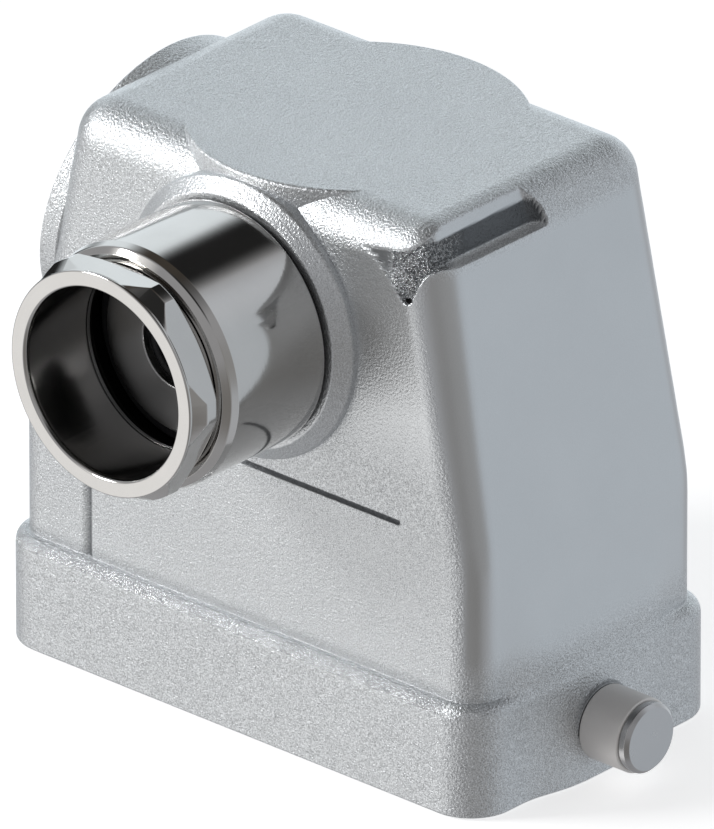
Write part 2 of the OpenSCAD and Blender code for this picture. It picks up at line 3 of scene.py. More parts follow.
import bpy
import numpy as np
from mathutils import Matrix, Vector


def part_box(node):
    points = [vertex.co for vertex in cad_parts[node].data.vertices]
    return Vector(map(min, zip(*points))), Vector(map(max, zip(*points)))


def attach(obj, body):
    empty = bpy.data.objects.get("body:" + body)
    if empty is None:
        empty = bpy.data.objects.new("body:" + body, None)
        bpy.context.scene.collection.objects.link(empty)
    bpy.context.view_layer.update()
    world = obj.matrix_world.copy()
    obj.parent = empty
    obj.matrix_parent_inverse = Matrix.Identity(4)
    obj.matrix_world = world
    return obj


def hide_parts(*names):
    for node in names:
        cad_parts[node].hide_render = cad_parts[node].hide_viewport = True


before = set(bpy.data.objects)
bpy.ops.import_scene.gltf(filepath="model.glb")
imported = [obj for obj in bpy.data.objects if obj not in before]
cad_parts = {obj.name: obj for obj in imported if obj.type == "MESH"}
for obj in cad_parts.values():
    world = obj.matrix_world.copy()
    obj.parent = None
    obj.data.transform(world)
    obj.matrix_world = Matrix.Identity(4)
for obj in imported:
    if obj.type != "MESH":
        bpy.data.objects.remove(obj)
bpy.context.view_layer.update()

mm = 0.001
housing = "housing"
print("frame loaded:", len(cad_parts), "nodes")

# a node's lowest and highest corner, in millimetres
def boxMm(node):
    low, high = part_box(node)
    return np.array(low) / mm, np.array(high) / mm

hoodTop = float(boxMm("hood")[1][2])
glandLow, glandHigh = boxMm("gland_body")
sleeveLow, sleeveHigh = boxMm("sleeve_right")
entryZ = (glandLow[2] + glandHigh[2]) / 2      # height of the gland's axis
pegZ = (sleeveLow[2] + sleeveHigh[2]) / 2      # height of the pegs' axis

# six times a closed mesh's volume is the sum of p0 . (p1 x p2) over its triangles; quads count as two
def signedVolume(points, quads):
    p = points[quads]
    firstHalf = np.sum(p[:, 0] * np.cross(p[:, 1], p[:, 2]))
    secondHalf = np.sum(p[:, 0] * np.cross(p[:, 2], p[:, 3]))
    return float(firstHalf + secondHalf)

# puts points (millimetres), quads and further faces into a mesh that rides on a body, its faces turned outwards
def addPiece(name, points, quads, body, material, replaced=(), normals=None, more=()):
    points = np.asarray(points, float)
    quads = np.asarray(quads)
    more = [list(face) for face in more]
    if signedVolume(points - points.mean(0), quads) < 0:
        quads = quads[:, ::-1]
        more = [face[::-1] for face in more]
    mesh = bpy.data.meshes.new(name)
    mesh.from_pydata((points * mm).tolist(), [], quads.tolist() + more)
    mesh.polygons.foreach_set("use_smooth", np.ones(len(mesh.polygons), bool))
    mesh.materials.append(material)
    mesh.update()
    if normals is not None:
        mesh.normals_split_custom_set_from_vertices(np.asarray(normals, float).tolist())
    piece = bpy.data.objects.new(name, mesh)
    bpy.context.scene.collection.objects.link(piece)
    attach(piece, body)
    if replaced:
        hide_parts(*replaced)
    return piece

# one number for each point of a piece, which its material reads by name
def addZone(piece, name, values):
    attribute = piece.data.attributes.new(name, "FLOAT", "POINT")
    attribute.data.foreach_set("value", values.astype(np.float32))

# the same grain all over a piece of the casting: 1 is plain sandy paint, 0 is smooth
def addGrain(piece, amount=1.0):
    addZone(piece, "grain", np.full(len(piece.data.vertices), amount))
    return piece

# a piece's points in millimetres
def pointsMm(piece):
    places = np.empty(len(piece.data.vertices) * 3)
    piece.data.vertices.foreach_get("co", places)
    return places.reshape(-1, 3) / mm

# distance from a level axis at a height: root of (across * across + (z - height) * (z - height))
def fromAxis(points, across, height):
    return np.hypot(points[:, across], points[:, 2] - height)

# index quads of a grid whose columns close on themselves, and whose rows may
def ringQuads(rows, columns, closeRows=False):
    index = np.arange(rows * columns).reshape(rows, columns)
    beside = np.roll(index, -1, 1)
    above, aboveBeside = np.roll(index, -1, 0), np.roll(beside, -1, 0)
    quads = np.stack([index, beside, aboveBeside, above], -1)
    return (quads if closeRows else quads[:-1]).reshape(-1, 4)

# vectors divided by their lengths
def unit(vectors):
    return vectors / np.maximum(np.linalg.norm(vectors, axis=-1, keepdims=True), 1e-9)

# a polyline with every corner replaced by an arc of its own radius; gives points and their outward normals
def roundedProfile(corners, closed=True, steps=4):
    corners = np.array(corners, float)
    points, normals = [], []
    count = len(corners)
    for i in range(count):
        here, radius = corners[i, :2], corners[i, 2]
        before, after = corners[i - 1, :2], corners[(i + 1) % count, :2]
        if not closed and i in (0, count - 1):
            along = unit(after - here) if i == 0 else unit(here - before)
            points.append(here[None])
            normals.append(np.array([[along[1], -along[0]]]))
            continue
        come, go = unit(here - before), unit(after - here)
        turn = math.atan2(come[0] * go[1] - come[1] * go[0], float(come @ go))
        cut = min(radius * abs(math.tan(turn / 2)), 0.45 * np.linalg.norm(here - before),
                  0.45 * np.linalg.norm(after - here))
        real = cut / max(abs(math.tan(turn / 2)), 1e-6)
        side = math.copysign(1.0, turn)
        centre = here - come * cut + side * real * np.array([-come[1], come[0]])
        angles = np.linspace(0, turn, steps + 1)
        cosine, sine = np.cos(angles)[:, None], np.sin(angles)[:, None]
        normal = np.array([come[1], -come[0]])
        turned = cosine * normal + sine * np.array([-normal[1], normal[0]])
        points.append(centre + side * real * turned)
        normals.append(turned)
    return np.concatenate(points), np.concatenate(normals)

# carries a profile of (distance along the axis, radius) round an axis:
# point = origin + along * axis + radius * (cos(angle) * first spoke + sin(angle) * second spoke)
def revolve(profile, normals, origin, axis, segments, turn=0.0):
    axis = unit(np.array(axis, float))
    first = unit(np.cross(axis, [0.0, 0.0, 1.0]) if abs(axis[2]) < 0.9 else np.cross(axis, [0.0, 1.0, 0.0]))
    second = np.cross(axis, first)
    angle = np.arange(segments) * 2 * math.pi / segments + turn
    spoke = np.cos(angle)[:, None] * first + np.sin(angle)[:, None] * second
    points = np.array(origin, float) + profile[:, None, :1] * axis + profile[:, None, 1:] * spoke[None]
    directions = normals[:, None, :1] * axis + normals[:, None, 1:] * spoke[None]
    return points.reshape(-1, 3), directions.reshape(-1, 3)

# a turned part: corners of (along, radius, edge rounding), as a closed ring or solid with a flat at each end
def addTurned(name, corners, origin, axis, body, material, replaced=(), segments=192, solid=False, steps=4):
    profile, normals = roundedProfile(corners, not solid, steps)
    points, directions = revolve(profile, normals, origin, axis, segments)
    order = np.diff(np.r_[profile, profile[:1]], axis=0)
    area = np.sum(profile[:, 0] * order[:, 1] - profile[:, 1] * order[:, 0])
    if area < 0:
        directions = -directions
    caps = []
    if solid:
        ring = np.arange(segments)
        caps = [ring[::-1], ring + (len(profile) - 1) * segments]
    return addPiece(name, points, ringQuads(len(profile), segments, not solid), body, material, replaced,
                    directions, caps)

# a ring of rectangular section: start and end along the axis, inner and outer radius, and its four edge roundings
def addRing(name, alongs, radii, rounds, origin, axis, body, material, replaced, segments=192):
    (start, end), (inside, outside) = alongs, radii
    corners = [(start, inside, rounds[0]), (end, inside, rounds[1]),
               (end, outside, rounds[2]), (start, outside, rounds[3])]
    return addTurned(name, corners, origin, axis, body, material, replaced, segments)

# an empty material, with its nodes, its links and its shader
def newMaterial(name):
    material = bpy.data.materials.new(name)
    material.use_nodes = True
    nodes = material.node_tree.nodes
    return material, nodes, material.node_tree.links, nodes["Principled BSDF"]

# a node with sockets or properties set by name
def addNode(nodes, kind, **settings):
    node = nodes.new(kind)
    for key, value in settings.items():
        if key in node.inputs:
            node.inputs[key].default_value = value
        else:
            setattr(node, key, value)
    return node

# noise read at a place, as a link
def addNoise(nodes, links, place, **settings):
    noise = addNode(nodes, "ShaderNodeTexNoise", **settings)
    links.new(place, noise.inputs["Vector"])
    return noise.outputs[0]

# an attribute of the mesh, as a link
def addAttribute(nodes, name):
    return addNode(nodes, "ShaderNodeAttribute", attribute_name=name).outputs["Fac"]

# a value turned into a colour, or a grey, by stops of (position, colour)
def addRamp(nodes, links, source, stops):
    ramp = nodes.new("ShaderNodeValToRGB")
    while len(ramp.color_ramp.elements) < len(stops):
        ramp.color_ramp.elements.new(0.5)
    for element, (position, colour) in zip(ramp.color_ramp.elements, stops):
        element.position = position
        element.color = (*colour, 1) if len(colour) == 3 else (colour[0], colour[0], colour[0], 1)
    links.new(source, ramp.inputs[0])
    return ramp.outputs[0]

# puts values, each a link or a number or colour, into sockets
def fillSockets(links, sockets, values):
    for socket, value in zip(sockets, values):
        if isinstance(value, (int, float, tuple)):
            socket.default_value = value
        else:
            links.new(value, socket)

# a sum, product or the like of two values
def addMaths(nodes, links, operation, first, second):
    node = addNode(nodes, "ShaderNodeMath", operation=operation)
    fillSockets(links, node.inputs, (first, second))
    return node.outputs[0]

# first * (1 - share) + second * share, or with MULTIPLY first * (1 - share + share * second)
def mixColours(nodes, links, share, first, second, blend="MIX"):
    node = addNode(nodes, "ShaderNodeMix", data_type="RGBA", blend_type=blend)
    fillSockets(links, (node.inputs[0], node.inputs[6], node.inputs[7]), (share, first, second))
    return node.outputs[2]

# a height in metres times strength, as the shader's normal
def addBump(nodes, links, shader, height, strength, distance):
    bump = addNode(nodes, "ShaderNodeBump", Strength=strength, Distance=distance)
    links.new(height, bump.inputs["Height"])
    links.new(bump.outputs[0], shader.inputs["Normal"])

castPaint = {
    "colour": (0.70, 0.72, 0.735), "dark": (0.68, 0.70, 0.715), "drift": 70.0,       # slow changes of tone
    "bare": (0.16, 0.17, 0.18), "deepShade": (0.01, 0.01, 0.01),                          # colour of painted shade in recesses and of the coarse spots; near-black painted shade in holes
    "metallic": 0.85, "roughness": 0.34, "smooth": 0.30, "sparkle": -0.12,      # roughness: sand, smooth, coarse
    "coarse": 3300, "fine": 7000, "fineShare": 0.35, "height": 0.00016, "speck": 0.65, "spots": 2.8}

# Cast metal under silver paint, led by two attributes. "grain" is 1 on sand, 0 where it is smooth, and above 1
# where it is coarse and spotted. The other attribute is painted shade: at 1 the colour goes to the dark shade
# colour, above 1 towards near black, and below 0 the paint is less metallic (chalky).
# colour = (tone * speck, by grain) mixed to the dark shade colour by painted shade + spots * (coarse + fine - 1)
# * (grain - 1)
# height = (coarse + fineShare * fine - mean) * grain
def castMaterial():
    s = castPaint
    material, nodes, links, shader = newMaterial("castAluminiumPaint")
    coords = nodes.new("ShaderNodeTexCoord").outputs["Object"]
    coarse = addNoise(nodes, links, coords, Scale=s["coarse"], Detail=2.5, Roughness=0.55)
    fine = addNoise(nodes, links, coords, Scale=s["fine"], Detail=1.0, Roughness=0.6)
    slow = addNoise(nodes, links, coords, Scale=s["drift"], Detail=4.0, Roughness=0.6)
    grain, bare = addAttribute(nodes, "grain"), addAttribute(nodes, "bare")

    def maths(operation, first, second):
        return addMaths(nodes, links, operation, first, second)

    tone = addRamp(nodes, links, slow, [(0.35, s["dark"]), (0.65, s["colour"])])
    speck = addRamp(nodes, links, fine, [(0.32, (1 - s["speck"] * 0.5,)), (0.68, (1 + s["speck"] * 0.5,))])
    specked = mixColours(nodes, links, grain, tone, speck, "MULTIPLY")
    coarser = maths("MAXIMUM", maths("SUBTRACT", grain, 1.0), 0.0)
    spotty = maths("MULTIPLY", maths("SUBTRACT", maths("ADD", coarse, fine), 1.0), coarser)
    # painted shade from the attribute, plus random dark spots in coarse places
    darkShare = maths("ADD", bare, maths("MULTIPLY", spotty, s["spots"]))
    spottedAndShaded = mixColours(nodes, links, darkShare, specked, (*s["bare"], 1))
    # near-black painted shade where the shade attribute passes 1
    deepShaded = mixColours(nodes, links, maths("SUBTRACT", bare, 1.0), spottedAndShaded, (*s["deepShade"], 1))
    links.new(deepShaded, shader.inputs["Base Color"])

    shiny = maths("MINIMUM", maths("ADD", bare, 1.0), 1.0)
    links.new(maths("MULTIPLY", shiny, s["metallic"]), shader.inputs["Metallic"])
    matt = addRamp(nodes, links, grain, [(0.0, (s["smooth"],)), (1.0, (s["roughness"],))])
    sparkle = maths("MULTIPLY", maths("MINIMUM", coarser, 1.0), s["sparkle"])
    links.new(maths("ADD", matt, sparkle), shader.inputs["Roughness"])
    sand = maths("ADD", coarse, maths("MULTIPLY", fine, s["fineShare"]))
    level = maths("SUBTRACT", sand, (1 + s["fineShare"]) / 2)
    addBump(nodes, links, shader, maths("MULTIPLY", level, grain), 1.0, s["height"])
    return material

metalLook = {"smudge": 160.0, "shade": 0.94, "paintedShadeStrength": 0.5, "dullRoughness": 0.16}

# Turned metal: fine rings or streaks along one axis in the bump, smudges in tone and roughness. The attribute
# of painted shade takes the colour towards black in bores and hollows by its value times the shade strength, and
# also adds its value * dullRoughness to the roughness.
def metalMaterial(name, colour, roughness, streaks=(40, 2500, 40), metallic=1.0, bumpHeight=0.000004):
    s = metalLook
    material, nodes, links, shader = newMaterial(name)
    coords = nodes.new("ShaderNodeTexCoord").outputs["Object"]
    stretch = addNode(nodes, "ShaderNodeMapping", Scale=streaks)
    links.new(coords, stretch.inputs["Vector"])
    line = addNoise(nodes, links, stretch.outputs[0], Scale=1.0, Detail=3.0)
    smudge = addNoise(nodes, links, coords, Scale=s["smudge"], Detail=4.0, Roughness=0.6)
    tone = addRamp(nodes, links, smudge, [(0.3, tuple(c * s["shade"] for c in colour)), (0.7, colour)])
    dullAndShade = addAttribute(nodes, "dullAndShade")
    # painted shade: darker in bores and hollows
    darkening = addMaths(nodes, links, "MULTIPLY", dullAndShade, s["paintedShadeStrength"])
    links.new(mixColours(nodes, links, darkening, tone, (0.0, 0.0, 0.0, 1)), shader.inputs["Base Color"])
    rough = addRamp(nodes, links, smudge, [(0.3, (roughness * 0.8,)), (0.75, (roughness * 1.3,))])
    matt = addMaths(nodes, links, "MULTIPLY", dullAndShade, s["dullRoughness"])
    links.new(addMaths(nodes, links, "ADD", rough, matt), shader.inputs["Roughness"])
    shader.inputs["Metallic"].default_value = metallic
    addBump(nodes, links, shader, line, 0.5, bumpHeight)
    return material

mouldedLook = {"grain": 1800, "height": 0.00004, "slow": 90.0, "shade": 0.85, "roughnessSpread": 0.07}

# moulded plastic or rubber: fine grain in bump and roughness, slow changes of tone
def mouldedMaterial(name, colour, roughness):
    s = mouldedLook
    material, nodes, links, shader = newMaterial(name)
    coords = nodes.new("ShaderNodeTexCoord").outputs["Object"]
    grain = addNoise(nodes, links, coords, Scale=s["grain"], Detail=2.0)
    slow = addNoise(nodes, links, coords, Scale=s["slow"], Detail=3.0)
    tone = addRamp(nodes, links, slow, [(0.3, tuple(c * s["shade"] for c in colour)), (0.7, colour)])
    links.new(tone, shader.inputs["Base Color"])
    spread = s["roughnessSpread"]
    rough = addRamp(nodes, links, grain, [(0.3, (roughness - spread,)), (0.7, (roughness + spread,))])
    links.new(rough, shader.inputs["Roughness"])
    addBump(nodes, links, shader, grain, 0.6, s["height"])
    return material

castPaintMaterial = castMaterial()
nickelMaterial = metalMaterial("polishedNickel", (0.62, 0.61, 0.595), 0.08)
pegMaterial = metalMaterial("pegSteel", (0.57, 0.57, 0.575), 0.26, (1500, 60, 60))
sleeveMaterial = metalMaterial("sleeveSteel", (0.92, 0.90, 0.88), 0.5, (1500, 60, 60), 0.35)
washerMaterial = metalMaterial("washerSteel", (0.42, 0.42, 0.42), 0.35)
slipMaterial = metalMaterial("slipRingFinish", (0.25, 0.25, 0.25), 0.2)
rubberMaterial = mouldedMaterial("sealRubber", (0.018, 0.018, 0.02), 0.6)
plasticMaterial = mouldedMaterial("insertPlastic", (0.20, 0.21, 0.22), 0.5)
silverMaterial = metalMaterial("silverPlate", (0.80, 0.79, 0.77), 0.3, (60, 60, 1200))
zincMaterial = metalMaterial("zincPlate", (0.60, 0.62, 0.66), 0.32, (60, 60, 1200))
print("materials made")

hood = {
    # tapered body
    "endX": 35.85, "sideY": 19.85, "bendZ": 31.0, "leanDeg": 10.84, "topZ": hoodTop - 0.01,
    "edgeR": 5.3, "cornerR": 4.15, "draft": 0.35, "endBlend": 0.6,
    # skirt
    "skirtX": 37.5, "skirtY": 21.5, "skirtR": 5.8, "skirtTop": 14.1, "skirtEdgeR": 1.7, "footFillet": 0.12,
    # blister over each peg; its flanks lean by a sine and a cosine
    "blisterFootZ": 13.7, "blisterRise": 14.3, "blisterHalf": 11.0, "blisterIn": 0.6, "blisterBlend": 0.9,
    "flankX": 0.924, "flankY": 0.381,
    # hollow and screw posts
    "wall": 2.8, "skirtWall": 3.0, "hollowTop": 13.3, "postX": 28.5, "postY": 13.5, "postR": 4.2,
    "postLow": 23.2, "postHigh": 38.1,
    # grooves in the front wall
    "grooveZ": 34.1, "grooveStart": -5.0, "grooveEnd": 24.0, "grooveX": -24.7, "groove": 0.5, "grooveBlend": 0.12,
    # notch in the upper right edge
    "notchFloor": 66.8, "notchX": 27.35, "notchLean": 0.28, "notchY": 18.95, "notchFrontLean": 0.045,
    "notchRun": 0.067, "notchRunX": 24, "notchR": 3.4, "notchEnd": 0.75, "notchEndLean": 0.25,
    "notchEndCosine": 0.97, "notchEndR": 2.0, "notchEdgeR": 0.12, "notchEdgeWider": 0.35,
    # narrow flat that trims the edge between the notch and the top
    "strip": 54.06, "stripX": 0.902, "stripZ": 0.431, "stripFootZ": 69.5, "stripFrontY": -14.5,
    "stripBackY": -1.2, "stripBlend": 0.08,
    # line inside the body that the rays start from, and the gland's hole
    "spine": 17.0, "boreR": 13.8,
}
hood["ledge"] = hood["skirtX"] - hood["endX"]

# the larger of two plane distances, its corner rounded by a ball; cosine is that of the angle between the normals
def roundMax(a, b, radius, cosine=0.0):
    sine = math.sqrt(1 - cosine * cosine)
    a1, b1 = a + radius, b + radius
    corner = np.sqrt(np.maximum(a1 * a1 + b1 * b1 - 2 * a1 * b1 * cosine, 0)) / sine - radius
    return np.where((a1 - b1 * cosine > 0) & (b1 - a1 * cosine > 0), corner, np.maximum(a, b))

# the smaller of two, rounded in the same way
def roundMin(a, b, radius):
    return -roundMax(-a, -b, radius)

# the larger of two, blended over the width k: larger + h * h * k / 4, with h = 1 - difference / k, at least 0
def softMax(a, b, k):
    h = np.maximum(k - np.abs(a - b), 0) / k
    return np.maximum(a, b) + h * h * k / 4

leanRad = math.radians(hood["leanDeg"])
bodySlope = math.tan(leanRad)

# distance to the tapered body: leaning ends, drafted sides, rounded corners and top edge
def bodyField(x, y, z):
    s = hood
    low = np.abs(x) - s["endX"]
    high = low * math.cos(leanRad) + (z - s["bendZ"]) * math.sin(leanRad)
    ends = softMax(low, high, s["endBlend"])
    part = np.clip((z - s["bendZ"]) / (s["topZ"] - s["edgeR"] - s["bendZ"]), 0, 1)
    sides = np.abs(y) - (s["sideY"] - s["draft"] * part)
    capped = roundMax(ends, z - s["topZ"], s["edgeR"], math.sin(leanRad))
    return roundMax(capped, sides, s["cornerR"] + (s["edgeR"] - s["cornerR"]) * part)

# distance to the skirt: a rounded rectangle under a rounded edge
def skirtField(x, y, z):
    s = hood
    plan = roundMax(np.abs(x) - s["skirtX"], np.abs(y) - s["skirtY"], s["skirtR"])
    return roundMax(plan, z - s["skirtTop"], s["skirtEdgeR"])

# sloping blister over each peg: front and flank planes, ended at the bend and run out in the end wall
def blisterField(x, y, z):
    s = hood
    slope = math.atan2(s["ledge"], s["blisterRise"])
    past = np.abs(x) - s["skirtX"]
    front = past * math.cos(slope) + (z - s["blisterFootZ"]) * math.sin(slope)
    flank = past * s["flankX"] + (np.abs(y) - s["blisterHalf"]) * s["flankY"]
    below = softMax(softMax(front, flank, 1.6), z - s["bendZ"], 1.0)
    return softMax(below, s["endX"] - s["blisterIn"] - np.abs(x), 1.0)

# height of the notch's floor over w, the distance across the corner's diagonal: level on the right, and a V at
# the corner
drainTable = np.array([(-40, 110), (-3, 72.2), (-1.05, 67.9), (0.49, 67.17), (1.59, 65.9), (2.69, 64.09),
                       (3.35, 62.72), (3.75, 62.35), (4.4, 62.45), (4.82, 63.7), (5.09, 64.86), (6.27, 66.5),
                       (7.98, 66.95), (9.65, 66.85), (12, 66.8), (60, 66.8)])
drainStep, drainSmooth = 0.05, 21          # spacing of w, and how many places each height is the mean of
drainW = np.arange(-8, 20, drainStep)
drainWide = np.r_[np.arange(-8.5, -8, drainStep), drainW, np.arange(20, 20.5, drainStep)]
drainRaw = np.interp(drainWide, drainTable[:, 0], drainTable[:, 1])
drainZ = np.convolve(drainRaw, np.ones(drainSmooth) / drainSmooth, "same")[10:-10]
drainSlope = np.gradient(drainZ, drainW)

# what the notch leaves: behind its leaning back wall, under its floor, or past its closed end
def notchField(x, y, z):
    s = hood
    up = z - s["notchFloor"]
    back = (x - (s["notchX"] - s["notchLean"] * up)) * math.cos(math.atan(s["notchLean"]))
    front = -y - (s["notchY"] - s["notchFrontLean"] * up + s["notchRun"] * np.maximum(s["notchRunX"] - x, 0))
    core = roundMax(back, front, s["notchR"])
    across = (x + y) / math.sqrt(2)
    slope = np.interp(across, drainW, drainSlope)
    floor = (z - np.interp(across, drainW, drainZ)) / np.sqrt(1 + slope * slope)
    closing = (s["notchEnd"] - s["notchEndLean"] * up - y) * s["notchEndCosine"]
    left = roundMin(core, closing, s["notchEndR"])
    return roundMin(left, floor, s["notchEdgeR"] + s["notchEdgeWider"] * np.clip((x - 26) / 1.5, 0, 1))

# distance to the level and the upright groove, positive in the metal round them
def grooveField(x, y, z):
    s = hood
    half = s["groove"] / 2
    depth = -y - (s["sideY"] - s["groove"])
    level = np.maximum(np.abs(z - s["grooveZ"] - half) - half,
                       np.maximum(s["grooveStart"] - x, x - s["grooveEnd"]))
    upright = np.maximum(np.abs(x - s["grooveX"] - half) - half, np.maximum(s["skirtTop"] - z, z - s["grooveZ"]))
    return np.maximum(np.minimum(level, upright), -depth)

# distance to the whole outer skin, positive in the air
def hoodField(x, y, z):
    s = hood
    solid = softMax(-bodyField(x, y, z), -skirtField(x, y, z), s["footFillet"])
    solid = -softMax(solid, -blisterField(x, y, z), s["blisterBlend"])
    strip = s["stripX"] * x + s["stripZ"] * z - s["strip"] - 3 * np.maximum(s["stripFootZ"] - z, 0)
    strip -= 0.3 * np.maximum(s["stripFrontY"] - y, 0) + 4 * np.maximum(y - s["stripBackY"], 0) ** 2
    edge = np.maximum(roundMax(solid, np.maximum(notchField(x, y, z), strip), s["stripBlend"]), -3)
    edge = np.where((x > 10) & (y < 6) & (z > 60), edge, solid)      # the notch is up at the right
    return softMax(edge, -grooveField(x, y, z), s["grooveBlend"])

# distance to the hollow inside, positive in the metal
def hollowField(x, y, z):
    s = hood
    low = roundMax(np.abs(x) - s["skirtX"] + s["skirtWall"], np.abs(y) - s["skirtY"] + s["skirtWall"],
                   s["skirtR"] - s["skirtWall"])
    low = np.maximum(low, z - s["hollowTop"])
    space = np.minimum(low, bodyField(x, y, z) + s["wall"])
    post = np.hypot(np.maximum(s["postX"] - np.abs(x), 0), np.maximum(s["postY"] - np.abs(y), 0)) - s["postR"]
    post = np.maximum(post, np.abs(z - (s["postLow"] + s["postHigh"]) / 2) - (s["postHigh"] - s["postLow"]) / 2)
    return np.maximum(space, -post)

# places along a line whose spacing follows a list of (place, spacing), with exact places added
def spread(stops, extra=()):
    stops = np.array(stops, float)
    fine = np.linspace(stops[0, 0], stops[-1, 0], 20000)
    density = 1 / np.interp(fine, stops[:, 0], stops[:, 1])
    total = np.concatenate([[0], np.cumsum((density[1:] + density[:-1]) / 2 * np.diff(fine))])
    count = int(round(total[-1]))
    places = np.interp(np.linspace(0, total[-1], count + 1), total, fine)
    extra = np.array(extra, float)
    if len(extra):
        gap = np.abs(places[:, None] - extra[None]).min(1)
        places = np.concatenate([places[gap > 0.12], extra])
    return np.sort(places)

# columns: directions in plan, from the spine to a rounded rectangle walked anticlockwise from the middle of the
# right end; walk holds the lengths at which its straights and arcs meet
refX, refY, refR = 33.0, 20.0, 5.0
straightY, straightX = refY - refR, refX - refR
arc = refR * math.pi / 2
walk = np.cumsum([0, straightY, arc, 2 * straightX, arc, 2 * straightY, arc, 2 * straightX, arc, straightY])

# the place on that rectangle at a length t along it: start + direction * length on a straight, or
# centre + radius * (cos, sin) on an arc
def walkToPlan(t):
    t = np.mod(t, walk[-1])
    x, y = np.zeros_like(t), np.zeros_like(t)
    legs = [(refX, 0, 0, 1), None, (straightX, refY, -1, 0), None, (-refX, straightY, 0, -1), None,
            (-straightX, -refY, 1, 0), None, (refX, -straightY, 0, 1)]
    centres = {1: (1, 1, 0), 3: (-1, 1, 1), 5: (-1, -1, 2), 7: (1, -1, 3)}
    for leg in range(9):
        on = (t >= walk[leg]) & (t <= walk[leg + 1])
        step = t[on] - walk[leg]
        if leg in centres:
            sx, sy, quarter = centres[leg]
            angle = step / refR + quarter * math.pi / 2
            x[on] = sx * straightX + refR * np.cos(angle)
            y[on] = sy * straightY + refR * np.sin(angle)
        else:
            x0, y0, dx, dy = legs[leg]
            x[on], y[on] = x0 + dx * step, y0 + dy * step
    return x, y

# t at a place x on the front's straight part
def frontT(x):
    return walk[6] + arc + straightX + x

s = hood
grooveSides = (-0.2, -0.03, 0.03, 0.25, 0.47, 0.53, 0.7)       # lines beside and in a groove, from its lower edge
grooveEdges = [frontT(s["grooveX"] + d) for d in grooveSides]
grooveEnds = [frontT(v + d) for v in (s["grooveStart"], s["grooveEnd"]) for d in (-0.03, 0.03)]
columnSpacing = [
    (0, 0.3), (1.5, 0.36), (4, 1.1), (10, 0.9), (14, 0.8), (walk[1], 0.8), (walk[2], 0.9), (walk[2] + 4, 1.6),
    (walk[3] - 4, 1.6), (walk[3], 0.9), (walk[4], 0.8), (walk[4] + 5, 0.9), (walk[4] + 12, 1.4),
    (walk[5] - 12, 1.4), (walk[5] - 5, 0.9), (walk[5], 0.8), (walk[6], 0.8), (frontT(-24), 1.0),
    (frontT(13), 1.0), (frontT(17), 0.26), (walk[7], 0.26), (walk[8], 0.26), (walk[8] + straightY * 0.6, 0.3),
    (walk[9], 0.3)]
columnT = spread(columnSpacing, grooveEdges + grooveEnds)[:-1]
planX, planY = walkToPlan(columnT)
spineX = np.clip(planX, -s["spine"], s["spine"])
outX, outY = planX - spineX, planY
outLength = np.hypot(outX, outY)
outX, outY = outX / outLength, outY / outLength
columns = len(columnT)
flatDirection = np.stack([outX, outY, np.zeros(columns)], -1)
rayLength = 60.0

# the crossing of a field from negative to positive along rays, by halving the stretch again and again
def crossing(field, start, direction, turns=30):
    low = np.zeros(start.shape[:-1])
    high = np.full(start.shape[:-1], rayLength)
    for turn in range(turns):
        middle = (low + high) / 2
        p = start + direction * middle[..., None]
        outside = field(p[..., 0], p[..., 1], p[..., 2]) > 0
        high = np.where(outside, middle, high)
        low = np.where(outside, low, middle)
    return start + direction * ((low + high) / 2)[..., None]

# points of the spine at heights, one row for each row of heights
def onSpine(z):
    z = np.broadcast_to(z, (len(z), columns))
    return np.stack([np.broadcast_to(spineX, z.shape), np.zeros(z.shape), z], -1)

# how far the box that the body is cut from reaches out of the spine at heights, less a depth
def boxReach(z, depth):
    s = hood
    def plan(x, y, zz):
        ends = np.abs(x) - (s["endX"] - (zz - s["bendZ"]) * bodySlope) + depth
        return roundMax(ends, np.abs(y) - s["sideY"] + s["draft"] + depth, max(s["edgeR"] - depth, 1.0))
    start = onSpine(z)
    found = crossing(plan, start, np.broadcast_to(flatDirection, start.shape))
    return np.hypot(found[..., 0] - start[..., 0], found[..., 1] - start[..., 1])

fan = {"z": 50.0, "evenInset": 8}          # where the upper rays start, and where insets turn to shares

# points of a skin: level rays at low heights, then a fan of rays towards places on that box's wall and top
def skinPoints(field, levels, wallLevels, insets, depth=0.0):
    low = onSpine(levels[:, None])
    rows = [crossing(field, low, np.broadcast_to(flatDirection, low.shape))]
    top, even, inset = hood["topZ"] - depth, fan["evenInset"], insets[:, None]
    wall = boxReach(wallLevels[:, None], depth)
    corner = boxReach(np.array([[top]]), depth)
    inner = np.where(inset < even, corner - inset, (corner - even) * (1 - (inset - even) / 100))
    reach = np.concatenate([wall, inner])
    height = np.concatenate([np.broadcast_to(wallLevels[:, None], wall.shape), np.full(inner.shape, top)])
    direction = unit(np.stack([outX * reach, outY * reach, height - fan["z"]], -1))
    start = onSpine(np.full((len(reach), 1), fan["z"]))
    rows.append(crossing(field, start, direction))
    return np.concatenate(rows)

ledgeArc = s["skirtTop"] - s["skirtEdgeR"] + s["skirtEdgeR"] * np.sin(np.linspace(0, math.pi / 2, 15))[1:-1]
grooveRows = [s["grooveZ"] + d for d in grooveSides]
levels = np.concatenate([
    spread([(0.3, 1.0), (3, 2.0), (9.8, 2.0), (12.2, 0.4)]), ledgeArc,
    s["skirtTop"] + np.array([-0.015, 0.03, 0.12, 0.25, 0.45, 0.7, 1.1, 1.6, 2.2]),
    spread([(16.9, 0.6), (20, 1.3), (28, 1.2), (30, 0.5), (32, 0.5), (33, 0.6), (36, 1.0), (49.9, 2.0)],
           grooveRows)])
wallLevels = spread([(51, 1.6), (60, 0.8), (62.2, 0.23), (s["topZ"] - 0.01, 0.23)])
insets = np.concatenate([spread([(0.02, 0.23), (3.4, 0.24), (5, 0.5), (7.9, 0.8)]), [30.0, 60.0, 80.0]])
outer = skinPoints(hoodField, levels, wallLevels, insets)

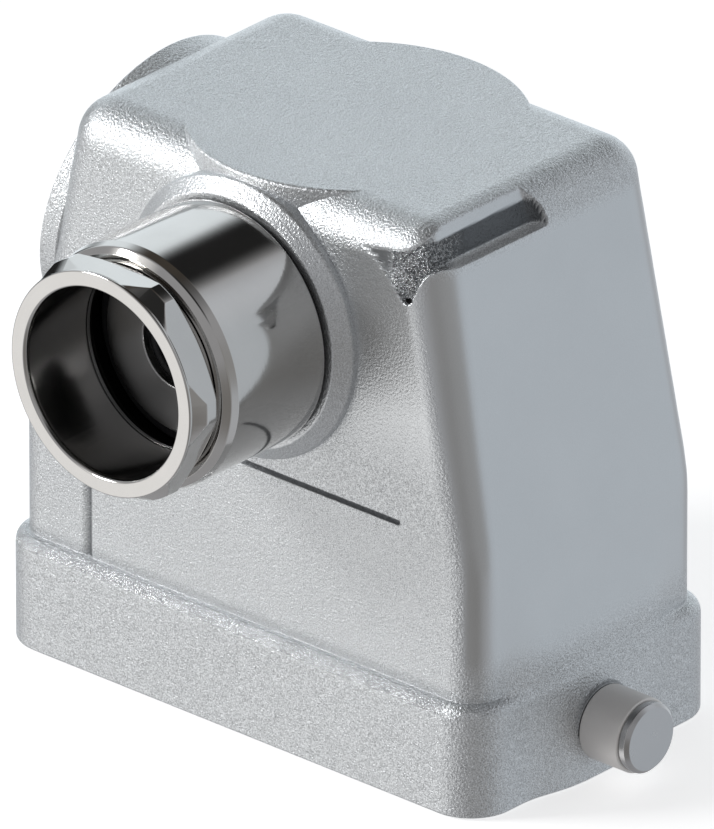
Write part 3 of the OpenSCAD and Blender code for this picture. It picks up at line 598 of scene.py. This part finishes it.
# a field's slope at points, as unit vectors
def fieldNormals(field, p, step=0.05):
    parts = []
    for axis in range(3):
        shift = np.zeros(3)
        shift[axis] = step
        a, b = p + shift, p - shift
        parts.append(field(a[..., 0], a[..., 1], a[..., 2]) - field(b[..., 0], b[..., 1], b[..., 2]))
    return unit(np.stack(parts, -1))

outerNormals = fieldNormals(hoodField, outer)
nearNotch = (outer[..., 0] > 14) & (outer[..., 1] < 3) & (outer[..., 2] > 60)
outerNormals[nearNotch] = fieldNormals(hoodField, outer[nearNotch], 0.1)
innerLevels = np.concatenate([
    spread([(0.3, 2.0), (13.2, 2.0)]), [13.29, 13.31], spread([(13.6, 1.5), (23.1, 2.0)]), [23.19, 23.21],
    spread([(23.6, 2.5), (38.0, 2.5)]), [38.09, 38.11], spread([(38.5, 2.5), (49.5, 2.5)])])
innerWall = spread([(51, 2.0), (s["topZ"] - s["wall"] - 0.05, 1.2)])
innerInsets = np.array([0.3, 0.8, 1.4, 2.2, 3.5, 5.5, 40.0, 80.0])
inner = skinPoints(hollowField, innerLevels, innerWall, innerInsets, depth=s["wall"])
innerNormals = -fieldNormals(hollowField, inner)

# the flat rim between the skins, with both its edges slightly rounded: each row lies in from a skin, at a height
def rimRow(skin, normals, into, z):
    row = skin[0].copy()
    row[:, :2] -= normals[0, :, :2] * into
    row[:, 2] = z
    return row

rimRows = [rimRow(inner, innerNormals, 0.0, 0.25), rimRow(inner, innerNormals, 0.07, 0.07),
           rimRow(inner, innerNormals, 0.25, 0.0), rimRow(outer, outerNormals, 0.3, 0.0),
           rimRow(outer, outerNormals, 0.09, 0.09)]
down = np.array([0.0, 0.0, -1.0])
flatRow = np.tile(down, (columns, 1))
rimNormals = [innerNormals[0], unit(innerNormals[0] + down), flatRow, flatRow, unit(outerNormals[0] + down)]
rows = [inner[::-1], np.stack(rimRows), outer]
points = np.concatenate(rows)
normals = np.concatenate([innerNormals[::-1], np.stack(rimNormals), outerNormals])
rowCount = len(points)
flat = points.reshape(-1, 3)
flatNormals = normals.reshape(-1, 3)
quads = ringQuads(rowCount, columns)
caps = [list(range(columns))[::-1], list(range((rowCount - 1) * columns, rowCount * columns))]
rowOf = quads.min(1) // columns

# the gland's opening: quads near the axis go, on both skins, and the two rims are joined
inHole = (fromAxis(flat, 0, entryZ) < s["boreR"]) & (flat[:, 1] < -10)
gone = inHole[quads].all(1)
kept = quads[~gone]
isInner = rowOf < len(inner)

# the border of the removed quads on one skin, as point numbers ordered by angle round the gland's axis
def holeLoop(onInner):
    chosen = quads[gone & (isInner == onInner)]
    edges = np.concatenate([chosen[:, [0, 1]], chosen[:, [1, 2]], chosen[:, [2, 3]], chosen[:, [3, 0]]])
    both = np.sort(edges, 1)
    keys, counts = np.unique(both, axis=0, return_counts=True)
    loop = np.unique(keys[counts == 1])
    angle = np.arctan2(flat[loop, 2] - entryZ, flat[loop, 0])
    order = np.argsort(angle)
    return loop[order], angle[order]

loopOut, angleOut = holeLoop(False)
loopIn, angleIn = holeLoop(True)
for loop, angle in ((loopOut, angleOut), (loopIn, angleIn)):
    flat[loop, 0] = s["boreR"] * np.cos(angle)
    flat[loop, 2] = entryZ + s["boreR"] * np.sin(angle)

# triangles between two rings of points ordered by angle: each edge is closed with the other ring's last point
def zipRings(first, firstAngle, second, secondAngle):
    ends = np.roll(firstAngle, -1)
    ends[-1] += 2 * math.pi
    wide = np.concatenate([secondAngle, secondAngle + 2 * math.pi])
    other = (np.searchsorted(wide, ends, "right") - 1) % len(second)
    sideA = np.stack([first, np.roll(first, -1), second[other]], -1)
    ends = np.roll(secondAngle, -1)
    ends[-1] += 2 * math.pi
    wide = np.concatenate([firstAngle, firstAngle + 2 * math.pi])
    other = (np.searchsorted(wide, ends, "left") - 1) % len(first)
    sideB = np.stack([np.roll(second, -1), second, first[other]], -1)
    return np.concatenate([sideA, sideB])

bridge = zipRings(loopOut, angleOut, loopIn, angleIn)
usedMask = np.zeros(len(flat), bool)
usedMask[kept.ravel()] = True
usedMask[bridge.ravel()] = True
usedMask[np.concatenate(caps)] = True
newIndex = np.cumsum(usedMask) - 1

# where the skin changes: smooth places, places with painted shade and coarse ones, with their borders in
# millimetres
zones = {
    "end": {"x": 26.5, "z": 16.0, "tilt": 0.40, "topZ": 67.5, "smooth": 0.95},
    "corner": {"x": 13, "z": 40, "tilt": 0.8, "smooth": 0.6},
    "notch": {"shadeRun": [18, 21, 24, 30, 34], "darkShare": [0.6, 0.7, 0.5, 0.6, 1.15],
              "shadeZ": [62.5, 65, 66.5], "shadeUp": [0.25, 0.3, 1.0], "topZ": 69.9,
              "sandRun": [21.5, 23.5, 31, 35], "sand": [0.2, 3.5, 3.5, 1.0], "floorSand": 1.6},
    "drain": {"x": 25.1, "z": 62.85, "wide": 0.8, "high": 0.4, "deepShade": 2.5},
    "groove": {"darkShare": 0.95}, "skirtEdge": {"sand": 1.7}, "topEdge": {"sand": 0.85},
    "foot": {"high": 1.6, "darkShare": 0.24}, "strip": {"sand": 0.15},
}

# a share that rises from 0 to 1 over a width from its start
def rise(value, start, width):
    return np.clip((value - start) / width, 0, 1)

# a share that falls to 0 over a width before its end
def fall(value, end, width):
    return np.clip((end - value) / width, 0, 1)

# grain and painted shade of every point of the casting
def castingZones():
    s = hood
    x, y, z = flat.T
    normalX, normalY, normalZ = flatNormals.T
    grain, bare = np.ones(len(flat)), np.zeros(len(flat))
    # smooth paint on the right end, and half smooth beside the rounded corner in front of it
    c = zones["end"]
    tilted = rise(normalX, c["tilt"], 0.15) * fall(z, c["topZ"], 2.0)
    grain -= c["smooth"] * (rise(x, c["x"], 1.0) * rise(z, c["z"], 4.0)) * tilted
    c = zones["corner"]
    grain -= c["smooth"] * (rise(x, c["x"], 5) * rise(z, c["z"], 8)) * rise(-normalY, c["tilt"], 0.1)
    # the notch's wall, by its length from the left tip: smooth with painted shade, then speckled, then painted
    # shade again, standing in for the shadow in the slot
    c = zones["notch"]
    outside = np.arange(len(flat)) // columns >= len(inner) + len(rimRows)
    inNotch = outside & (x > 14) & (y < 3) & (z > 62) & (bodyField(x, y, z) < -0.12)
    px, py, pz = flat[inNotch].T
    run = px + py + 19
    floorShare = rise(normalZ[inNotch], 0.45, 0.3) * rise(run, 30, 3)      # its floor is lighter
    # painted shade on the notch's wall, less metallic paint on its floor
    darkShare = np.interp(run, c["shadeRun"], c["darkShare"]) * (1 - floorShare) - floorShare
    darkShare *= np.interp(pz, c["shadeZ"], c["shadeUp"]) * fall(pz, c["topZ"], 0.15)
    grain[inNotch] = np.interp(run, c["sandRun"], c["sand"]) * (1 - floorShare) + c["floorSand"] * floorShare
    # painted shadow, near black, in the small hole at the V's bottom
    c = zones["drain"]
    aside = np.hypot((px - c["x"]) / c["wide"], (pz - c["z"]) / c["high"])
    bare[inNotch] = darkShare + c["deepShade"] * np.clip(1.4 - aside, 0, 1)
    # painted shade in the grooves
    front = outside & (y < -18)
    inGroove = front & (np.abs(grooveField(x, y, z)) < 0.06) & (y > -s["sideY"] + 0.06)
    inGroove |= front & (np.abs(x - s["grooveX"] - s["groove"] / 2) < 0.3) & (z > s["skirtTop"]) & (
        z < s["grooveZ"] + s["groove"])
    bare[inGroove] = zones["groove"]["darkShare"]
    # the skirt's edge is coarse, and the foot of the long wall above it gets painted shade, a painted dark
    # reflection of the ledge
    ledgeZ = s["skirtTop"] + 0.01
    onEdge = front & (x < 32)
    grain[onEdge & (normalZ > 0.2) & (normalZ < 0.97) & (z < ledgeZ)] = zones["skirtEdge"]["sand"]
    topEdge = outside & (z > 62) & (normalY < -0.4) & (np.abs(normalZ - 0.5) < 0.3) & ~inNotch
    grain[topEdge] = zones["topEdge"]["sand"]
    c = zones["foot"]
    foot = onEdge & (z > ledgeZ) & (z < s["skirtTop"] + 1.7) & ~inGroove
    bare[foot] = c["darkShare"] * fall(z[foot], s["skirtTop"] + c["high"], 0.8)
    onStrip = inNotch & (np.abs(s["stripX"] * x + s["stripZ"] * z - s["strip"]) < 0.12) & (z > 69.7)
    grain[onStrip] = zones["strip"]["sand"]
    return grain, bare

casting = addPiece("hoodCasting", flat[usedMask], newIndex[kept], housing, castPaintMaterial,
                   ["hood"], flatNormals[usedMask], [newIndex[f] for f in bridge] + [newIndex[f] for f in caps])
for zoneName, values in zip(("grain", "bare"), castingZones()):
    addZone(casting, zoneName, values[usedMask])
print("hood casting:", rowCount, "rows by", columns, "columns,", len(casting.data.polygons), "faces")

# a flat round boss let into the casting: top face and rounded edge, a rim whose depth changes round it, and a
# hidden underside; each ring is origin + along * axis + radius * spoke
def addFlatBoss(name, origin, axis, radius, edgeR, height, depths, plate, segments=288):
    spokes, directions = revolve(np.array([[0.0, 1.0]]), np.array([[0.0, 1.0]]), (0, 0, 0), axis, segments)
    depth = depths(spokes * radius)
    axis = unit(np.array(axis, float))
    turn = np.linspace(0, math.pi / 2, 7)
    along = [np.full(segments, height - edgeR + edgeR * math.cos(a)) for a in turn]
    across = [radius - edgeR + edgeR * math.sin(a) for a in turn]
    facing = [(math.cos(a), math.sin(a)) for a in turn]
    for part in (0.5, 1.0):
        along.append((height - edgeR) * (1 - part) - depth * part)
        across.append(radius)
        facing.append((0, 1))
    along += [-np.minimum(depth + 0.2, np.maximum(depth, plate)), np.full(segments, -plate)]
    across += [radius - 0.6, radius - 1.7]
    facing += [(-1, 0), (-1, 0)]
    points = [np.array(origin, float) + a[:, None] * axis + r * spokes for a, r in zip(along, across)]
    normals = [np.broadcast_to(f[0] * axis, spokes.shape) + f[1] * spokes for f in facing]
    ring = np.arange(segments)
    caps = [ring[::-1], ring + (len(points) - 1) * segments]
    boss = addPiece(name, np.concatenate(points), ringQuads(len(points), segments), housing,
                    castPaintMaterial, (), np.concatenate(normals), caps)
    return addGrain(boss)

topBoss = {"radius": 20.3, "edgeR": 0.45, "depth": 16.0, "plate": 2.4}

# the rim runs down the long walls in the middle, and only to the rounded top edge farther out
def topBossDepth(at):
    across = [0, 4.6, 5.2, 6, 7, 9, 12, 14, 15]
    depths = [topBoss["depth"]] * 2 + [6.5, 5.0, 3.8, 2.4, 1.2, 0.7, 0.6]
    return np.interp(np.abs(at[:, 0]), across, depths)

addFlatBoss("topEntryBoss", (0, 0, hoodTop), (0, 0, 1), topBoss["radius"], topBoss["edgeR"], 0.0,
            topBossDepth, topBoss["plate"])

sideBoss = {"radius": 18.6, "edgeR": 0.35, "proud": 1.13, "depth": 1.4, "topDepth": 8.0, "plate": 1.8}
sideX = -(s["endX"] - (entryZ - s["bendZ"]) * bodySlope)

# the rim of the side boss runs back towards the top, where the body's edge falls away from it
def sideBossDepth(at):
    rise = at[:, 2] / sideBoss["radius"]
    return np.interp(rise, [-1, 0.45, 0.7, 1.0], [sideBoss["depth"]] * 2 + [3.0, sideBoss["topDepth"]])

addFlatBoss("sideEntryBoss", (sideX, 0, entryZ), (-math.cos(leanRad), 0, math.sin(leanRad)), sideBoss["radius"],
            sideBoss["edgeR"], sideBoss["proud"], sideBossDepth, sideBoss["plate"])

glandAxis = (0, -1, 0)
glandOrigin = (0, 0, entryZ)
glandBoss = {"back": 13.3, "wallBack": 18.0, "edge": 20.4, "seat": 21.9, "holeR": 12.5, "innerR": 15.15,
             "slopeR": 15.7, "radius": 17.5}
g = glandBoss
addGrain(addTurned("glandEntryBoss", [
    (g["back"], g["holeR"], 0.15), (g["seat"], g["holeR"], 0.1), (g["seat"], g["slopeR"], 0.5),
    (g["edge"], g["radius"], 0.7), (g["wallBack"], g["radius"], 0.05), (g["wallBack"], g["innerR"], 0.05),
    (g["back"], g["innerR"], 0.3)], glandOrigin, glandAxis, housing, castPaintMaterial,
    segments=320), 0.6)

pegFoot = {"back": 36.4, "face": 37.5, "front": 38.4, "holeR": 3.03, "tipR": 4.7, "footR": 6.1, "darkShare": 0.55}

# the casting's foot round a peg: its flare is a quarter of an ellipse, and painted shade darkens it towards its
# tip, where it meets the sleeve
def addPegFoot(side, word):
    f = pegFoot
    high, wide = f["front"] - f["face"], f["footR"] - f["tipR"]
    flare = [(f["face"] + high * (1 - math.cos(a)), f["footR"] - wide * math.sin(a), 0.9)
             for a in np.linspace(math.pi / 2, 0, 7)]
    flare[0] = (flare[0][0], flare[0][1], 0.15)
    corners = [(f["back"], f["holeR"], 0.05), (f["front"], f["holeR"], 0.05), *flare,
               (f["back"], f["footR"], 0.05)]
    foot = addGrain(addTurned("pegFoot" + word, corners, (0, 0, pegZ), (side, 0, 0), housing,
                              castPaintMaterial, segments=144))
    # painted shade round the root of the peg
    addZone(foot, "bare", f["darkShare"] * fall(fromAxis(pointsMm(foot), 1, pegZ), f["footR"], wide))

addPegFoot(1, "Right")
addPegFoot(-1, "Left")
print("bosses made")

peg = {"root": 34.4, "neck": 44.3, "end": 45.6, "shaftR": 3.0, "headR": 4.3, "chamfer": 0.45}
sleeve = {"start": 38.45, "end": 44.25, "outerR": 4.6, "boreR": 3.05}
for side, word in ((1, "right"), (-1, "left")):
    p, c = peg, peg["chamfer"]
    addTurned("lockingPeg_" + word, [
        (p["root"], p["shaftR"] - 0.6, 0), (p["root"], p["shaftR"], 0.25), (p["neck"], p["shaftR"], 0.03),
        (p["neck"], p["headR"], 0.08), (p["end"] - c, p["headR"], 0.12), (p["end"], p["headR"] - c, 0.1),
        (p["end"], p["headR"] - c - 0.6, 0)], (0, 0, pegZ), (side, 0, 0), housing, pegMaterial,
        ["locking_peg_" + word], segments=144, solid=True)
    addRing("sleeve" + word.title(), (sleeve["start"], sleeve["end"]), (sleeve["boreR"], sleeve["outerR"]),
            (0.1, 0.1, 0.25, 0.2), (0, 0, pegZ), (side, 0, 0), "sleeve_" + word, sleeveMaterial,
            ["sleeve_" + word], 144)
print("pegs and sleeves made")

gland = {"threadEnd": 13.3, "threadR": 12.3, "passageR": 9.2, "seat": 22.5, "radius": 15.15, "front": 39.0,
         "bevelL": 1.65, "bevel": 1.1, "stepL": 0.6, "step": 0.3, "femaleR": 13.05, "femaleEnd": 31.7,
         "chamberR": 12.85, "floor": 23.5, "holeR": 5.1, "washerR": 10.9, "cableR": 4.5,
         "sealEnd": 30.2, "sealR": 12.8, "dullAndShade": 1.9}
g = gland
glandBody = addTurned("glandBody", [
    (g["threadEnd"], g["passageR"], 0.2), (g["threadEnd"], g["threadR"], 0.5), (g["seat"], g["threadR"], 0.05),
    (g["seat"], g["radius"], 0.25), (g["front"] - g["bevelL"], g["radius"], 0.4),
    (g["front"] - g["stepL"], g["radius"] - g["step"], 0.5), (g["front"], g["radius"] - g["bevel"], 0.12),
    (g["front"], g["femaleR"], 0.15), (g["femaleEnd"], g["femaleR"], 0.05), (g["femaleEnd"], g["chamberR"], 0.05),
    (g["floor"], g["chamberR"], 0.1), (g["floor"], g["passageR"], 0.1)],
    glandOrigin, glandAxis, housing, nickelMaterial, ["gland_body"], segments=288)
bodyPoints = pointsMm(glandBody)
# painted shade: the chamber inside the gland body, past the seal's floor, is darkened almost to black
inside = (fromAxis(bodyPoints, 0, entryZ) < g["femaleR"] + 0.1) & (bodyPoints[:, 1] < -g["floor"])
addZone(glandBody, "dullAndShade", g["dullAndShade"] * inside)

# the loose rings: place along the axis, radii, edge roundings, body, slot, finish and node
glandRings = [
    ("glandGasket", (21.92, 22.49), (12.4, 14.75), (0.1, 0.1, 0.25, 0.25),
     housing, "seal_rubber", rubberMaterial, "gland_gasket"),
    ("innerWasher", (g["floor"], 24.7), (g["holeR"], g["washerR"]), (0.1, 0.1, 0.15, 0.15),
     housing, "washer_steel", washerMaterial, "inner_washer"),
    ("glandSeal", (24.7, g["sealEnd"]), (g["cableR"], g["sealR"]), (0.5, 0.5, 0.3, 0.3),
     housing, "seal_rubber", rubberMaterial, "gland_seal"),
    ("outerWasher", (g["sealEnd"], 31.4), (g["holeR"], g["washerR"]), (0.15, 0.2, 0.2, 0.15),
     housing, "washer_steel", washerMaterial, "outer_washer"),
    ("slipRing", (33.2, 33.7), (11.7, 12.9), (0.1, 0.05, 0.05, 0.1),
     "slip_ring", "washer_steel", slipMaterial, "slip_ring")]
for name, alongs, radii, rounds, body, slot, material, node in glandRings:
    addRing(name, alongs, radii, rounds, glandOrigin, glandAxis, body, material, [node])

# a mesh's point normals, each face counted by its area, so that broad faces stay flat beside narrow bevels
def areaNormals(points, quads):
    p = points[quads]
    face = np.cross(p[:, 2] - p[:, 0], p[:, 3] - p[:, 1])
    total = np.zeros_like(points)
    for corner in range(4):
        for axis in range(3):
            total[:, axis] += np.bincount(quads[:, corner], face[:, axis], len(points))
    return unit(total)

screw = {"back": 39.95, "front": 44.35, "flat": 13.5, "cornerR": 14.9, "rimR": 13.9, "rim": 0.4, "slopeL": 1.4,
         "boreR": 11.7, "bevel": 0.5, "mouthL": 0.8, "shankR": 13.0, "shankEnd": 33.75, "turn": 1.0, "edge": 0.12,
         "backDeg": 30, "dullAndShade": 0.6}

# hollow pressure screw: in each column the hexagon, cut off by the corners' round, meets both bevels' cones;
# point = (radius * cos(angle), -along, axis height + radius * sin(angle)) on rings of (along, radius)
def addPressureScrew():
    c = screw
    e, front, back, shankEnd = c["edge"], c["front"], c["back"], c["shankEnd"]
    reach = math.degrees(math.acos(c["flat"] / c["cornerR"]))
    sector = np.radians(np.concatenate([[-27.7, -reach - 0.3], np.linspace(-reach + 0.3, reach - 0.3, 25),
                                        [reach + 0.3, 27.7, 30.0]]))
    angle = ((np.arange(6)[:, None] + 0.5) * math.pi / 3 + sector[None]).ravel()
    hexagon = np.tile(np.minimum(c["flat"] / np.cos(sector), c["cornerR"]), 6)
    backSlope = math.tan(math.radians(c["backDeg"]))
    frontSlope = c["slopeL"] / (c["cornerR"] - c["rimR"])
    rimEnd = front - c["rim"]
    start = np.minimum(c["rimR"] - 0.02, hexagon)
    near = np.maximum(hexagon - 0.5 * e, start)
    frontTurn = rimEnd - 0.05 - (hexagon - start) * frontSlope
    backTurn = back + (hexagon - c["flat"]) * backSlope
    rings = [
        # round rim and front bevel
        (front, c["boreR"] + c["bevel"]), (front, c["boreR"] + c["bevel"] + e), (front, c["rimR"] - 2.2 * e),
        (front, c["rimR"] - e), (front - e, c["rimR"]), (rimEnd + 0.02, c["rimR"]), (rimEnd, start),
        (rimEnd - 0.02 - (near - start) * frontSlope, near),
        # flats and back bevel
        (frontTurn - e, hexagon), (frontTurn - 2.4 * e, hexagon), ((frontTurn + backTurn) / 2, hexagon),
        (backTurn + 2.4 * e, hexagon), (backTurn + e, hexagon),
        (backTurn - e * backSlope * 0.5, np.maximum(hexagon - e * 0.5, c["flat"] - 0.1)),
        (back, c["flat"] - e), (back, c["flat"] - 2.4 * e), (back, c["shankR"] + 0.02),
        # shank and bore
        (back - e, c["shankR"]), (shankEnd + 2 * e, c["shankR"]), (shankEnd, c["shankR"] - 0.2),
        (shankEnd, c["boreR"] + e), (shankEnd + e, c["boreR"]), (shankEnd + 3 * e, c["boreR"]),
        (front - c["mouthL"] - 3 * e, c["boreR"])]
    # rounded mouth
    rings += [(front - c["mouthL"] * (1 - math.sin(a)), c["boreR"] + c["bevel"] * (1 - math.cos(a)))
              for a in np.linspace(0, math.pi / 2, 9)[:-1]]
    turned = angle + math.radians(c["turn"])
    points = np.concatenate([np.stack([radius * np.cos(turned), np.broadcast_to(-along, turned.shape),
                                       entryZ + radius * np.sin(turned)], -1) for along, radius in rings])
    quads = ringQuads(len(rings), len(angle), True)
    if signedVolume(points - points.mean(0), quads) < 0:
        quads = quads[:, ::-1]
    piece = addPiece("pressureScrew", points, quads, "pressure_screw", nickelMaterial,
                     ["pressure_screw"], areaNormals(points, quads))
    # painted shade in the screw's bore, twice as dark towards its inner end
    inBore = fall(fromAxis(points, 0, entryZ), c["boreR"] + 0.2, 0.15)
    addZone(piece, "dullAndShade", c["dullAndShade"] * inBore + c["dullAndShade"] * inBore * (points[:, 1] > -shankEnd - 2 * e))

addPressureScrew()
print("gland made")

# finishes of the CAD nodes that stay as they are
nodeMaterials = {"insert_body": plasticMaterial, "contact_pins": silverMaterial, "terminal_screws": zincMaterial,
                 "earth_plate_right": silverMaterial, "earth_plate_left": silverMaterial,
                 "earth_screws": zincMaterial, "fixing_washers": zincMaterial, "fixing_screws": zincMaterial}
for name, material in nodeMaterials.items():
    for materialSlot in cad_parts[name].material_slots:
        materialSlot.material = material

# the camera: where it looks from in degrees, its lens in millimetres, the frame's height and a millimetre of the
# part in pixels, and the places in the frame of its middle and of the mating face's middle
view = {"azimuth": 41.83, "elevation": 26.1, "lens": 1480.0, "sensor": 36.0, "frameHigh": 829,
        "pixelsPerMm": 8.58, "frameMiddle": (357.0, 414.5), "faceMiddle": (357.54, 670.2)}

# unit vector from the part towards a camera at an azimuth and an elevation
def faceFrom(azimuth, elevation):
    a, e = math.radians(azimuth), math.radians(elevation)
    return Vector((math.sin(a) * math.cos(e), -math.cos(a) * math.cos(e), math.sin(e)))

camera = bpy.data.objects.new("camera", bpy.data.cameras.new("camera"))
bpy.context.scene.collection.objects.link(camera)
camera.data.lens = view["lens"]
camera.data.sensor_width = view["sensor"]
camera.data.clip_end = 40.0
distance = view["lens"] / view["sensor"] * view["frameHigh"] / (view["pixelsPerMm"] * 1000)
back = faceFrom(view["azimuth"], view["elevation"])
rightWay = Vector((math.cos(math.radians(view["azimuth"])), math.sin(math.radians(view["azimuth"])), 0))
upWay = back.cross(rightWay)
right = (view["frameMiddle"][0] - view["faceMiddle"][0]) / view["pixelsPerMm"] * mm
up = (view["faceMiddle"][1] - view["frameMiddle"][1]) / view["pixelsPerMm"] * mm
camera.location = rightWay * right + upWay * up + back * distance
camera.rotation_mode = "QUATERNION"
camera.rotation_quaternion = (-back).to_track_quat("-Z", "Y")
bpy.context.scene.camera = camera
bpy.context.scene.view_settings.view_transform = "Standard"

# the studio round the object: a plain grey, with soft bright and dark panels given by direction, colour and the
# half-width in degrees at which they have faded; inside the core's share of it they have their full colour
studio = {
    "grey": (0.40, 0.40, 0.41), "core": 0.35,
    "panels": [
        ((-0.60, -0.67, -0.44), (1.15, 1.14, 1.13), 38),
        ((-0.66, 0.67, 0.27), (1.05, 1.13, 1.18), 60),
        ((0.55, 0.67, 0.42), (0.66, 0.69, 0.73), 30),
        ((0.60, 0.67, -0.48), (0.57, 0.59, 0.62), 42),
        ((0.68, 0.67, -0.08), (0.585, 0.625, 0.665), 42),
        ((0.67, -0.60, -0.44), (0.24, 0.23, 0.22), 34),
        ((0.96, -0.12, 0.05), (0.34, 0.335, 0.33), 32),
        ((-0.20, 0.25, 0.95), (0.07, 0.06, 0.05), 40),
        ((0.30, -0.25, 0.92), (0.03, 0.03, 0.03), 36),
        ((-0.12, 0.66, 0.74), (0.02, 0.02, 0.02), 22),
        ((-0.58, -0.70, 0.38), (1.10, 1.09, 1.07), 21),
        ((-0.955, 0.287, 0.0), (0.02, 0.02, 0.02), 20)]}
world = bpy.data.worlds.new("studio")
bpy.context.scene.world = world
world.use_nodes = True
nodes, links = world.node_tree.nodes, world.node_tree.links
direction = nodes.new("ShaderNodeTexCoord").outputs["Generated"]
colour = (*studio["grey"], 1)
for way, shade, halfWidth in studio["panels"]:
    dot = addNode(nodes, "ShaderNodeVectorMath", operation="DOT_PRODUCT")
    links.new(direction, dot.inputs[0])
    dot.inputs[1].default_value = Vector(way).normalized()
    share = addNode(nodes, "ShaderNodeMapRange", interpolation_type="SMOOTHSTEP")
    links.new(dot.outputs["Value"], share.inputs["Value"])
    share.inputs["From Min"].default_value = math.cos(math.radians(halfWidth))
    share.inputs["From Max"].default_value = math.cos(math.radians(halfWidth * studio["core"]))
    colour = mixColours(nodes, links, share.outputs[0], colour, (*shade, 1))
path = nodes.new("ShaderNodeLightPath")
seen = addMaths(nodes, links, "MAXIMUM", path.outputs["Is Camera Ray"], path.outputs["Is Transmission Ray"])
links.new(mixColours(nodes, links, seen, colour, (1, 1, 1, 1)), nodes["Background"].inputs["Color"])

keyLamp = {"way": (-0.6, -0.66, 0.44), "distance": 0.6, "size": (0.16, 0.12), "power": 1.6, "aimZ": 0.035}

# one soft lamp from the left front, which looks at the part's middle
def addKeyLamp():
    k = keyLamp
    lamp = bpy.data.lights.new("key", "AREA")
    lamp.shape = "RECTANGLE"
    lamp.size, lamp.size_y = k["size"]
    lamp.energy = k["power"]
    item = bpy.data.objects.new("key", lamp)
    bpy.context.scene.collection.objects.link(item)
    way = Vector(k["way"]).normalized()
    item.location = Vector((0, 0, k["aimZ"])) + way * k["distance"]
    item.rotation_mode = "QUATERNION"
    item.rotation_quaternion = way.to_track_quat("Z", "Y")
    item.visible_camera = False

addKeyLamp()

paleFloor = {"colour": (0.85, 0.85, 0.85), "roughness": 0.9, "glow": 0.62, "half": 1.2, "z": -0.0002}

# pale floor: white to the camera where it is lit, with the object's shadow, and see-through from below
def addFloor():
    s = paleFloor
    material, nodes, links, shader = newMaterial("paleFloor")
    shader.inputs["Base Color"].default_value = (*s["colour"], 1)
    shader.inputs["Roughness"].default_value = s["roughness"]
    shader.inputs["Specular IOR Level"].default_value = 0.0
    shader.inputs["Emission Color"].default_value = (1, 1, 1, 1)
    cameraRay = nodes.new("ShaderNodeLightPath").outputs["Is Camera Ray"]
    links.new(addMaths(nodes, links, "MULTIPLY", cameraRay, s["glow"]), shader.inputs["Emission Strength"])
    fromBelow = nodes.new("ShaderNodeMixShader")
    links.new(nodes.new("ShaderNodeNewGeometry").outputs["Backfacing"], fromBelow.inputs[0])
    links.new(shader.outputs[0], fromBelow.inputs[1])
    links.new(nodes.new("ShaderNodeBsdfTransparent").outputs[0], fromBelow.inputs[2])
    links.new(fromBelow.outputs[0], nodes["Material Output"].inputs["Surface"])
    mesh = bpy.data.meshes.new("floor")
    half, z = s["half"], s["z"]
    mesh.from_pydata([(-half, -half, z), (half, -half, z), (half, half, z), (-half, half, z)], [], [(0, 1, 2, 3)])
    mesh.materials.append(material)
    floor = bpy.data.objects.new("floor", mesh)
    bpy.context.scene.collection.objects.link(floor)
    floor.visible_glossy = False
    floor.visible_diffuse = False

addFloor()
print("stage, light and camera made")
